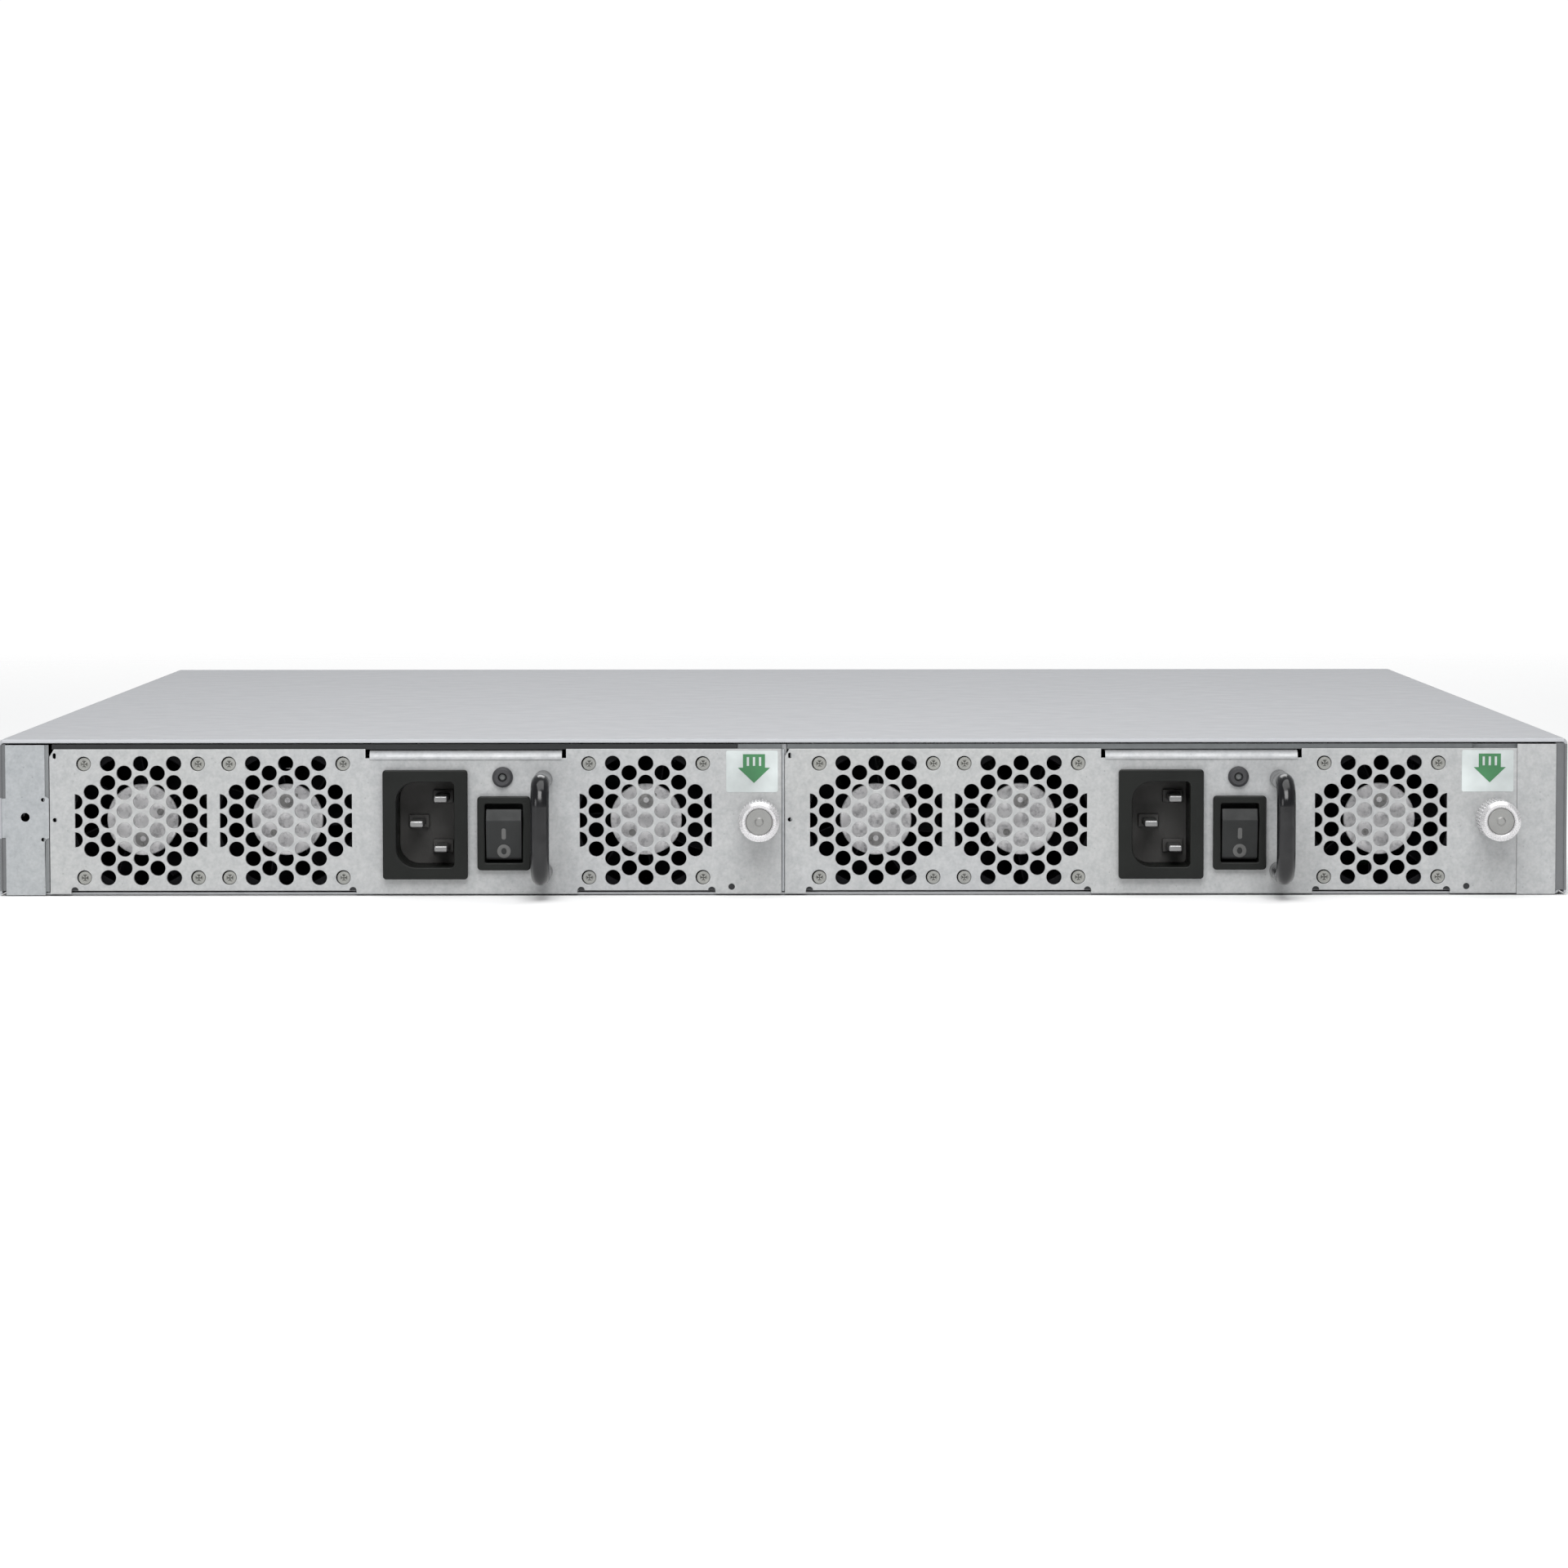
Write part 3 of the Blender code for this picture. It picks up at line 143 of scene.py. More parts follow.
def add_floor():
    """A pale disc that fades into the white room."""
    mesh = bmesh.new()
    bmesh.ops.create_circle(mesh, cap_ends=True, segments=96, radius=6)
    data = bpy.data.meshes.new("floor")
    mesh.to_mesh(data)
    mesh.free()
    floor = bpy.data.objects.new("floor", data)
    bpy.context.scene.collection.objects.link(floor)
    floor.location.z = -0.2 * MM
    made = Finish("floor_paint", (0.93, 0.93, 0.93), 0.8)
    distance = made.add("ShaderNodeVectorMath", operation="LENGTH")
    made.link(made.coordinates.outputs["Object"], distance.inputs[0])
    fade = made.ramp(distance.outputs["Value"], ((0.5, 1.0), (1.7, 0.0)), spread=2.4)
    made.link(fade, made.shader.inputs["Alpha"])
    data.materials.append(made.material)


# Materials


class Finish:
    """A Principled material whose colour, gloss and relief vary by patterns in object space."""

    def __init__(self, name, colour, roughness, metallic=0.0, specular=0.5):
        self.material = bpy.data.materials.new(name)
        self.material.use_nodes = True
        self.tree = self.material.node_tree
        self.shader = self.tree.nodes["Principled BSDF"]
        self.colour = colour
        self.roughness = roughness
        self.shader.inputs["Base Color"].default_value = (*colour, 1)
        self.shader.inputs["Roughness"].default_value = roughness
        self.shader.inputs["Metallic"].default_value = metallic
        self.shader.inputs["Specular IOR Level"].default_value = specular
        self.coordinates = self.add("ShaderNodeTexCoord")
        self.relief = None

    def add(self, kind, **settings):
        node = self.tree.nodes.new(kind)
        for key, value in settings.items():
            setattr(node, key, value)
        return node

    def link(self, source, target):
        self.tree.links.new(source, target)

    def place(self, stretch=(1, 1, 1)):
        """Object coordinates in millimetres, stretched along each axis."""
        mapping = self.add("ShaderNodeMapping")
        mapping.inputs["Scale"].default_value = [1 / MM / s for s in stretch]
        self.link(self.coordinates.outputs["Object"], mapping.inputs["Vector"])
        return mapping.outputs["Vector"]

    def noise(self, size, detail=3.0, stretch=(1, 1, 1), roughness=0.5):
        """Noise whose features are about this many millimetres across."""
        node = self.add("ShaderNodeTexNoise")
        node.inputs["Scale"].default_value = 1 / size
        node.inputs["Detail"].default_value = detail
        node.inputs["Roughness"].default_value = roughness
        self.link(self.place(stretch), node.inputs["Vector"])
        return node.outputs["Fac"]

    def cells(self, size, feature="F1", randomness=1.0, stretch=(1, 1, 1)):
        node = self.add("ShaderNodeTexVoronoi", feature=feature)
        node.inputs["Scale"].default_value = 1 / size
        node.inputs["Randomness"].default_value = randomness
        self.link(self.place(stretch), node.inputs["Vector"])
        return node

    def ramp(self, value, stops, spread=1.0):
        """A value mapped piece by piece through (input, output) stops, with inputs up to spread."""
        if spread != 1.0:
            scaled = self.add("ShaderNodeMath", operation="DIVIDE")
            scaled.inputs[1].default_value = spread
            self.link(value, scaled.inputs[0])
            value = scaled.outputs[0]
        node = self.add("ShaderNodeValToRGB")
        elements = node.color_ramp.elements
        while len(elements) < len(stops):
            elements.new(0.5)
        for element, (position, output) in zip(elements, stops):
            element.position = position / spread
            rgb = output if isinstance(output, tuple) else (output,) * 3
            element.color = (*rgb, 1)
        self.link(value, node.inputs["Fac"])
        return node.outputs["Color"]

    def blotch(self, value, low, high, stops=(0.3, 0.7)):
        """Multiplies what the base colour is so far by low to high, as the pattern goes up."""
        factor = self.ramp(value, ((stops[0], low), (stops[1], high)))
        mix = self.add("ShaderNodeMix", data_type="RGBA", blend_type="MULTIPLY")
        mix.inputs["Factor"].default_value = 1.0
        before = self.shader.inputs["Base Color"].links
        if before:
            self.link(before[0].from_socket, mix.inputs["A"])
        else:
            mix.inputs["A"].default_value = (*self.colour, 1)
        self.link(factor, mix.inputs["B"])
        self.link(mix.outputs["Result"], self.shader.inputs["Base Color"])
        return self

    def paint_over(self, mask, colour):
        """Puts another colour where the mask is 1."""
        mix = self.add("ShaderNodeMix", data_type="RGBA")
        before = self.shader.inputs["Base Color"].links
        if before:
            self.link(before[0].from_socket, mix.inputs["A"])
        else:
            mix.inputs["A"].default_value = (*self.colour, 1)
        mix.inputs["B"].default_value = (*colour, 1)
        self.link(mask, mix.inputs["Factor"])
        self.link(mix.outputs["Result"], self.shader.inputs["Base Color"])
        return self

    def gloss(self, value, low, high, stops=(0.3, 0.7)):
        """Roughness between low and high, as the pattern goes up."""
        self.link(self.ramp(value, ((stops[0], low), (stops[1], high))), self.shader.inputs["Roughness"])
        return self

    def bump(self, value, height):
        """Relief of this height in millimetres, on top of the relief so far."""
        node = self.add("ShaderNodeBump")
        node.inputs["Distance"].default_value = height * MM
        node.inputs["Strength"].default_value = 1.0
        self.link(value, node.inputs["Height"])
        if self.relief:
            self.link(self.relief, node.inputs["Normal"])
        self.relief = node.outputs["Normal"]
        self.link(self.relief, self.shader.inputs["Normal"])
        return self


def sheet_paint(name, colour, mottle, roughness=0.42, specular=0.5):
    """Powder-coated sheet: fine orange peel, faint blotches and a few rubbed spots."""
    made = Finish(name, colour, roughness, specular=specular)
    made.blotch(made.noise(60, 4), 1 - mottle / 2, 1.0)
    made.blotch(made.noise(3.2, 5, roughness=0.65), 1 - mottle, 1.0)
    made.gloss(made.noise(9, 4), roughness - 0.07, roughness + 0.08)
    made.bump(made.noise(0.55, 2), 0.012)
    return made


def plated_face(name, colour):
    """Plated steel with small soft patches, pinprick specks and fine brushing along X."""
    made = Finish(name, colour, 0.4, metallic=0.2)
    made.blotch(made.noise(75, 2), (0.965, 0.97, 0.985), (1.0, 1.0, 0.99))
    made.blotch(made.noise(2.6, 6, roughness=0.7), (0.80, 0.81, 0.82), (1.0, 1.0, 1.0), (0.25, 0.62))
    made.blotch(made.noise(0.9, 2), 0.9, 1.0, (0.3, 0.6))
    specks = made.cells(2.8).outputs["Distance"]
    made.blotch(specks, (0.72, 0.72, 0.72), 1.0, (0.03, 0.10))
    made.gloss(made.noise(5, 4), 0.32, 0.50)
    made.bump(made.noise(0.8, 3), 0.016)
    made.bump(made.noise(0.25, 2, stretch=(14, 1, 1)), 0.006)
    return made


def zinc(name, colour=(0.60, 0.61, 0.62)):
    """Galvanised sheet with a faint crystalline spangle."""
    made = Finish(name, colour, 0.36, metallic=0.85)
    spangle = made.cells(5.0).outputs["Color"]
    made.blotch(spangle, (0.86, 0.86, 0.87), (1.0, 1.0, 1.0), (0.1, 0.9))
    made.blotch(made.noise(30, 3), 0.93, 1.0)
    made.gloss(spangle, 0.30, 0.46, (0.1, 0.9))
    made.bump(made.noise(0.6, 2), 0.008)
    return made


def moulded(name, colour, roughness, grain=0.25, depth=0.02, specular=0.5):
    """Moulded plastic with a spark-eroded grain, dusty in places."""
    made = Finish(name, colour, roughness, specular=specular)
    made.blotch(made.noise(14, 4), 0.75, 1.25)
    made.gloss(made.noise(4, 4), roughness - 0.08, roughness + 0.10)
    made.bump(made.noise(grain, 2), depth)
    return made


def bright_metal(name, colour, roughness, along="y", metallic=1.0):
    """Machined or plated metal with fine tool marks."""
    made = Finish(name, colour, roughness, metallic)
    stretch = {"y": (1, 16, 1), "x": (16, 1, 1), "z": (1, 1, 16)}[along]
    made.blotch(made.noise(6, 4), 0.86, 1.0)
    made.gloss(made.noise(0.4, 3, stretch), roughness - 0.06, roughness + 0.12)
    made.bump(made.noise(0.18, 2, stretch), 0.004)
    return made


def board_green(name):
    """Solder mask with tracks, vias and the weave of the glass below it."""
    made = Finish(name, (0.010, 0.085, 0.035), 0.32)
    tracks = made.cells(6.5, "DISTANCE_TO_EDGE", 0.75).outputs["Distance"]
    made.paint_over(made.ramp(tracks, ((0.035, 1.0), (0.05, 0.0))), (0.03, 0.20, 0.085))
    vias = made.cells(3.4, "F1", 0.9).outputs["Distance"]
    made.paint_over(made.ramp(vias, ((0.08, 1.0), (0.10, 0.0))), (0.55, 0.52, 0.38))
    made.blotch(made.noise(25, 3), 0.85, 1.1)
    made.bump(tracks, 0.03)
    made.bump(made.noise(0.3, 1), 0.006)
    return made


def make_finishes():
    finishes = {
        "cover": sheet_paint("cover_paint", (0.385, 0.392, 0.409), 0.035, 0.5, 0.3),
        # A lighter copy of the cover paint for the front edge: a painted highlight on its bend.
        "cover_highlight_lip": sheet_paint("cover_highlight_lip_paint", (0.48, 0.49, 0.51), 0.035, 0.5, 0.3),
        "face": plated_face("face_plating", (0.485, 0.49, 0.49)),
        "panel": sheet_paint("panel_paint", (0.55, 0.56, 0.57), 0.05),
        "zinc": zinc("zinc_sheet"),
        "black": moulded("black_moulding", (0.009, 0.010, 0.009), 0.42, specular=0.22),
        "rocker": moulded("rocker_moulding", (0.026, 0.027, 0.027), 0.46, 0.2, 0.01, specular=0.2),
        "fan": moulded("fan_moulding", (0.003, 0.003, 0.004), 0.45, 0.4, 0.012, specular=0.1),
        "gloss": moulded("handle_coat", (0.003, 0.003, 0.004), 0.17, 1.6, 0.004, specular=0.55),
        "nickel": bright_metal("nickel_plate", (0.78, 0.78, 0.79), 0.24),
        "screw": bright_metal("screw_steel", (0.62, 0.62, 0.63), 0.34),
        # A much darker copy of the nickel for the inlet's pins: painted shade for the pins deep in the
        # cavity.
        "pin": bright_metal("pin_nickel_shaded", (0.30, 0.30, 0.30), 0.4),
        "knob": bright_metal("knob_nickel", (0.74, 0.73, 0.74), 0.26, metallic=0.5),
        # A darker, rougher copy of the knob's metal: satin metal, with its darker colour painted shade on the
        # recessed face.
        "knob_face": bright_metal("knob_face_shaded_satin", (0.38, 0.38, 0.37), 0.5),
        # A darker copy of the face plating for the folded lip: painted shade that tones down the highlight on
        # its bend.
        "lip": plated_face("lip_shaded_plating", (0.44, 0.445, 0.45)),
        # Dark grey painted shade for the cover's side edges.
        "edge": sheet_paint("shaded_edge", (0.15, 0.155, 0.16), 0.1),
        # Grey painted shade that fills the gap beside the left flange.
        "gap_shade": sheet_paint("gap_shade_filler", (0.21, 0.22, 0.225), 0.15),
        "flange": plated_face("flange_plating", (0.425, 0.44, 0.45)),
        # A darker copy of the face plating for the fan screws: painted shade on the screw heads.
        "fan_screw": plated_face("fan_screw_shaded_plating", (0.33, 0.33, 0.31)),
        # Grey and black painted shade: strips in the gap over the faceplates, and black blocks behind the
        # relief notches.
        "gap_shade_sheet": sheet_paint("gap_shade_sheet_grey", (0.15, 0.16, 0.165), 0.2),
        "dark_gap_shade_sheet": sheet_paint("gap_shade_sheet_black", (0.014, 0.015, 0.017), 0.2),
        "aluminium": bright_metal("extruded_aluminium", (0.75, 0.76, 0.77), 0.32),
        "gold": bright_metal("gold_flash", (0.86, 0.62, 0.25), 0.25),
        "board": board_green("board_mask"),
        "chip": moulded("chip_resin", (0.025, 0.025, 0.028), 0.50, 0.15, 0.01),
        "tape": moulded("winding_tape", (0.62, 0.46, 0.07), 0.40, 0.5, 0.01),
        # A lighter copy of the black moulding for the inlet cavity's floor: painted light in the shaded
        # cavity.
        "cavity_lightened_moulding": moulded("cavity_lightened_moulding", (0.09, 0.088, 0.085), 0.5, 0.3, 0.03, specular=0.2),
        "ferrite": moulded("ferrite", (0.035, 0.035, 0.038), 0.55, 0.3, 0.03),
        "sleeve": moulded("capacitor_sleeve", (0.02, 0.03, 0.06), 0.30, 1.2, 0.008),
        "label": moulded("label_film", (0.54, 0.58, 0.575), 0.38, 0.6, 0.004),
        "green": moulded("label_green", (0.05, 0.20, 0.08), 0.45, 0.6, 0.004),
        "ink": moulded("grey_ink", (0.10, 0.10, 0.098), 0.55, 0.4, 0.004),
        "red_wire": moulded("red_wire", (0.35, 0.02, 0.02), 0.38, 0.8, 0.006),
        "black_wire": moulded("black_wire", (0.015, 0.015, 0.016), 0.38, 0.8, 0.006),
        "foam": open_foam("filter_foam"),
        # A silver disc, set extra light: painted light to make up for the shade behind the faceplate.
        "hub": hub_label("hub_disc_lightened", (0.80, 0.79, 0.80)),
        "hub_mark": hub_label("hub_mark", (0.33, 0.325, 0.32)),
        "lens": clear_lens("light_lens", (0.80, 0.84, 0.82), 0.6),
        "dim_lens": clear_lens("unlit_lens", (0.12, 0.125, 0.125), 0.1),
    }
    return {name: made.material for name, made in finishes.items()}


def hub_label(name, colour):
    """A disc with worn patches, as on a motor hub."""
    made = Finish(name, colour, 0.34, metallic=0.15)
    made.blotch(made.noise(1.7, 4, roughness=0.65), (0.52, 0.52, 0.53), (1.0, 1.0, 1.0), (0.30, 0.52))
    made.blotch(made.noise(6.0, 2), (0.80, 0.80, 0.80), (1.0, 1.0, 1.0), (0.35, 0.6))
    made.gloss(made.noise(1.5, 4), 0.25, 0.5)
    made.bump(made.noise(1.1, 3), 0.10)
    return made


def open_foam(name):
    """Black foam with open cells."""
    made = Finish(name, (0.012, 0.012, 0.013), 0.85)
    pores = made.cells(1.1).outputs["Distance"]
    # Pores painted darker and cell walls lighter: painted shade in the pores.
    made.blotch(pores, 0.3, 1.8, (0.1, 0.6))
    made.bump(pores, 0.5)
    return made


def clear_lens(name, colour, clearness):
    made = Finish(name, colour, 0.12)
    made.shader.inputs["Transmission Weight"].default_value = clearness
    made.blotch(made.noise(2, 3), 0.85, 1.0)
    made.bump(made.noise(0.5, 2), 0.006)
    return made


# Shape tools. Each draws into a bmesh, in millimetres.


def rounded_rectangle(x, z, radius, steps=4):
    """The outline of a rectangle between (low, high) extents, with round corners, counter-clockwise."""
    points = []
    corners = ((x[1], z[0], -90), (x[1], z[1], 0), (x[0], z[1], 90), (x[0], z[0], 180))
    for corner_x, corner_z, start in corners:
        centre_x = corner_x + (radius if corner_x == x[0] else -radius)
        centre_z = corner_z + (radius if corner_z == z[0] else -radius)
        for i in range(steps + 1):
            angle = math.radians(start + 90 * i / steps)
            points.append((centre_x + radius * math.cos(angle), centre_z + radius * math.sin(angle)))
    return points


def about(centre, half):
    """The (low, high) extent this far to both sides of a centre."""
    return centre - half, centre + half


def inset(extent, by):
    """A (low, high) extent that is shorter by this at both ends."""
    return extent[0] + by, extent[1] - by


def spans(low, high, grow=0.0):
    """The X and Z extents of a box between two corners, grown on every side."""
    return inset((low.x, high.x), -grow), inset((low.z, high.z), -grow)


def boxes(*rows):
    """What draws slabs, each given as its extents along X, Y and Z and its bevel."""

    def draw(mesh):
        for row in rows:
            slab(mesh, *row)

    return draw


def circle(centre, radius, sides=24, start=0.0, sweep=2 * math.pi):
    count = sides if sweep == 2 * math.pi else sides + 1
    steps = [start + sweep * i / sides for i in range(count)]
    return [(centre[0] + radius * math.cos(a), centre[1] + radius * math.sin(a)) for a in steps]


def rectangle(x, z):
    return [(x[0], z[0]), (x[1], z[0]), (x[1], z[1]), (x[0], z[1])]


def punched_sheet(mesh, outline, holes, depth, bevel, bevel_steps=1):
    """A sheet with rounded edges round its outline and holes, which are lists of (u, v) points.

    It lies in the XY plane of a 2D curve, from z = 0 to depth, and is returned as the new vertices.
    """
    curve = bpy.data.curves.new("sheet", "CURVE")
    curve.dimensions = "2D"
    curve.fill_mode = "BOTH"
    curve.extrude = depth / 2 - bevel
    curve.bevel_depth = bevel
    curve.bevel_resolution = bevel_steps
    curve.offset = -bevel
    for loop in (outline, *holes):
        spline = curve.splines.new("POLY")
        spline.points.add(len(loop) - 1)
        spline.use_cyclic_u = True
        for point, (u, v) in zip(spline.points, loop):
            point.co = (u, v, 0, 1)
    holder = bpy.data.objects.new("sheet", curve)
    bpy.context.scene.collection.objects.link(holder)
    bpy.context.view_layer.update()
    solid = bpy.data.meshes.new_from_object(holder)
    bpy.data.objects.remove(holder)
    bpy.data.curves.remove(curve)
    before = set(mesh.verts)
    mesh.from_mesh(solid)
    bpy.data.meshes.remove(solid)
    made = [v for v in mesh.verts if v not in before]
    bmesh.ops.translate(mesh, verts=made, vec=(0, 0, depth / 2))
    bmesh.ops.remove_doubles(mesh, verts=made, dist=0.0001)
    return [v for v in mesh.verts if v not in before]


def upright(mesh, made, y):
    """Stands a flat shape up: its (u, v) become X and Z, and its thickness runs from y towards +Y."""
    turn = Matrix(((1, 0, 0, 0), (0, 0, 1, y), (0, 1, 0, 0), (0, 0, 0, 1)))
    bmesh.ops.transform(mesh, matrix=turn, verts=made)
    faces = {f for v in made for f in v.link_faces}
    bmesh.ops.recalc_face_normals(mesh, faces=list(faces))


def face_sheet(mesh, outline, holes, y, bevel, bevel_steps=1):
    """A punched sheet that stands in an XZ plane, between the (low, high) y."""
    made = punched_sheet(mesh, outline, holes, y[1] - y[0], bevel, bevel_steps)
    upright(mesh, made, y[0])
    return made


def slab(mesh, x, y, z, bevel=0.0, steps=2):
    """A cuboid between (low, high) extents with rounded edges."""
    made = bmesh.ops.create_cube(mesh, size=1)["verts"]
    centre = Vector([(a + b) / 2 for a, b in (x, y, z)])
    size = Vector([b - a for a, b in (x, y, z)])
    bmesh.ops.scale(mesh, vec=size, verts=made)
    bmesh.ops.translate(mesh, vec=centre, verts=made)
    if bevel:
        edges = list({e for v in made for e in v.link_edges})
        bmesh.ops.bevel(
            mesh, geom=edges, offset=bevel, segments=steps, profile=0.5, affect="EDGES", clamp_overlap=True
        )


def extrusion(mesh, outline, axis, start, end, bevel=0.0):
    """An outline of (y, z), (x, z) or (x, y) points for axis X, Y or Z, with its long edges rounded."""
    place = {
        "X": lambda u, v, w: (w, u, v),
        "Y": lambda u, v, w: (u, w, v),
        "Z": lambda u, v, w: (u, v, w),
    }[axis]
    first = [mesh.verts.new(place(u, v, start)) for u, v in outline]
    last = [mesh.verts.new(place(u, v, end)) for u, v in outline]
    faces = [mesh.faces.new(first), mesh.faces.new(last)]
    count = len(outline)
    for i in range(count):
        j = (i + 1) % count
        faces.append(mesh.faces.new((first[i], first[j], last[j], last[i])))
    bmesh.ops.recalc_face_normals(mesh, faces=faces)
    if bevel:
        edges = list({e for f in faces for e in f.edges})
        bmesh.ops.bevel(mesh, geom=edges, offset=bevel, segments=2, profile=0.5, affect="EDGES")


def turned(mesh, centre, profile, sides=32, phase=0.0):
    """A profile of (radius, y) turned about the Y axis through the (x, z) centre. Radius 0 closes it."""
    rings = []
    for radius, y in profile:
        if radius == 0:
            rings.append([mesh.verts.new((centre[0], y, centre[1]))])
        else:
            ring = circle(centre, radius, sides, phase)
            rings.append([mesh.verts.new((x, y, z)) for x, z in ring])
    faces = []
    pairs = list(zip(rings, rings[1:]))
    if profile[0][0] and profile[-1][0]:
        pairs.append((rings[-1], rings[0]))
    for near, far in pairs:
        for i in range(sides):
            j = (i + 1) % sides
            corners = [near[i % len(near)], near[j % len(near)], far[j % len(far)], far[i % len(far)]]
            faces.append(mesh.faces.new(list(dict.fromkeys(corners))))
    bmesh.ops.recalc_face_normals(mesh, faces=faces)


def tube(mesh, route, radius, sides=12, capped=True):
    """A round bar along a list of points."""
    rings = []
    points = [Vector(p) for p in route]
    across = None
    for i, point in enumerate(points):
        along = (points[min(i + 1, len(points) - 1)] - points[max(i - 1, 0)]).normalized()
        if across is None:
            across = along.orthogonal().normalized()
        across = (across - across.dot(along) * along).normalized()
        other = along.cross(across)
        ring = [point + radius * (math.cos(a) * across + math.sin(a) * other) for a in angles(sides)]
        rings.append([mesh.verts.new(corner) for corner in ring])
    faces = []
    if capped:
        faces += [mesh.faces.new(rings[0]), mesh.faces.new(rings[-1])]
    for near, far in zip(rings, rings[1:]):
        for i in range(sides):
            j = (i + 1) % sides
            faces.append(mesh.faces.new((near[i], near[j], far[j], far[i])))
    bmesh.ops.recalc_face_normals(mesh, faces=faces)


def angles(count):
    return [2 * math.pi * i / count for i in range(count)]


def smooth_route(points, per_span=6):
    """Points along a smooth curve through these ones."""
    knots = [Vector(p) for p in points]
    knots = [2 * knots[0] - knots[1], *knots, 2 * knots[-1] - knots[-2]]
    route = []
    for a, b, c, d in zip(knots, knots[1:], knots[2:], knots[3:]):
        for i in range(per_span):
            t = i / per_span
            bend = 2 * b + (c - a) * t + (2 * a - 5 * b + 4 * c - d) * t * t
            route.append(0.5 * (bend + (3 * b - a - 3 * c + d) * t**3))
    return [*route, knots[-2]]


def piece(name, draw, finish, replaces=(), body="chassis", shift=0.0):
    """A new object drawn by draw(mesh), which rides on a CAD body and may stand for CAD nodes."""
    mesh = bmesh.new()
    draw(mesh)
    bmesh.ops.translate(mesh, verts=mesh.verts, vec=(shift, 0, 0))
    bmesh.ops.scale(mesh, vec=(MM, MM, MM), verts=mesh.verts)
    data = bpy.data.meshes.new(name)
    mesh.to_mesh(data)
    mesh.free()
    data.shade_smooth()
    data.set_sharp_from_angle(angle=math.radians(SHARP))
    data.materials.append(FINISHES[finish])
    made = bpy.data.objects.new(name, data)
    bpy.context.scene.collection.objects.link(made)
    weighted = made.modifiers.new("Flat faces", "WEIGHTED_NORMAL")
    weighted.keep_sharp = True
    weighted.weight = 100
    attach(made, body)
    if replaces:
        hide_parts(*replaces)
    return made


def finish_node(name, finish, bevel):
    """Gives a CAD node that stays on show its finish, and rounds its edges."""
    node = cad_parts[name]
    node.data.materials.clear()
    node.data.materials.append(FINISHES[finish])
    rounding = node.modifiers.new("Rounded edges", "BEVEL")
    rounding.width = bevel * MM
    rounding.segments = 2
    rounding.limit_method = "ANGLE"
    rounding.angle_limit = math.radians(40)


# Shared parts


def cross_screw(mesh, centre, y, radius, outward=-1):
    """A countersunk head with a cross recess. Its face stands at y and looks towards outward."""
    deep = y - outward * radius * 0.45
    turned(
        mesh,
        centre,
        [
            (0, y - outward * radius * 0.9),
            (radius * 0.5, y - outward * radius * 0.9),
            (radius, y - outward * 0.15 * radius),
            (radius, y - outward * 0.06 * radius),
            (radius * 0.93, y),
            (radius * 0.60, y),
            (radius * 0.50, y - outward * radius * 0.10),
            (radius * 0.20, deep),
            (0, deep),
        ],
        20,
    )
    for quarter in range(4):
        turn = math.pi / 4 + quarter * math.pi / 2
        along, across = Vector((math.cos(turn), math.sin(turn))), Vector((-math.sin(turn), math.cos(turn)))
        corners = []
        for level, reach in ((deep, 0.34), (y - outward * radius * 0.02, 0.60)):
            for step in (0.14, reach):
                for side in (-0.10, 0.10):
                    spot = Vector(centre) + radius * (step * along + side * across)
                    corners.append(mesh.verts.new((spot.x, level, spot.y)))
        hull_of(mesh, corners)


def hull_of(mesh, corners):
    made = bmesh.ops.convex_hull(mesh, input=corners)
    faces = [g for g in made["geom"] if isinstance(g, bmesh.types.BMFace)]
    bmesh.ops.recalc_face_normals(mesh, faces=faces)


def side_screws(name, spots, side):
    """Flat cross screws on the outside of a skirt, at these (y, z) places."""

    def draw(mesh):
        for y, z in spots:
            cross_screw(mesh, (y, z), 0, 2.6)
        out = HALF_WIDTH - 0.05
        turn = Matrix(((0, -side, 0, side * out), (1, 0, 0, 0), (0, 0, 1, 0), (0, 0, 0, 1)))
        bmesh.ops.transform(mesh, matrix=turn, verts=mesh.verts)
        bmesh.ops.recalc_face_normals(mesh, faces=mesh.faces)

    piece(name, draw, "screw")


# Chassis


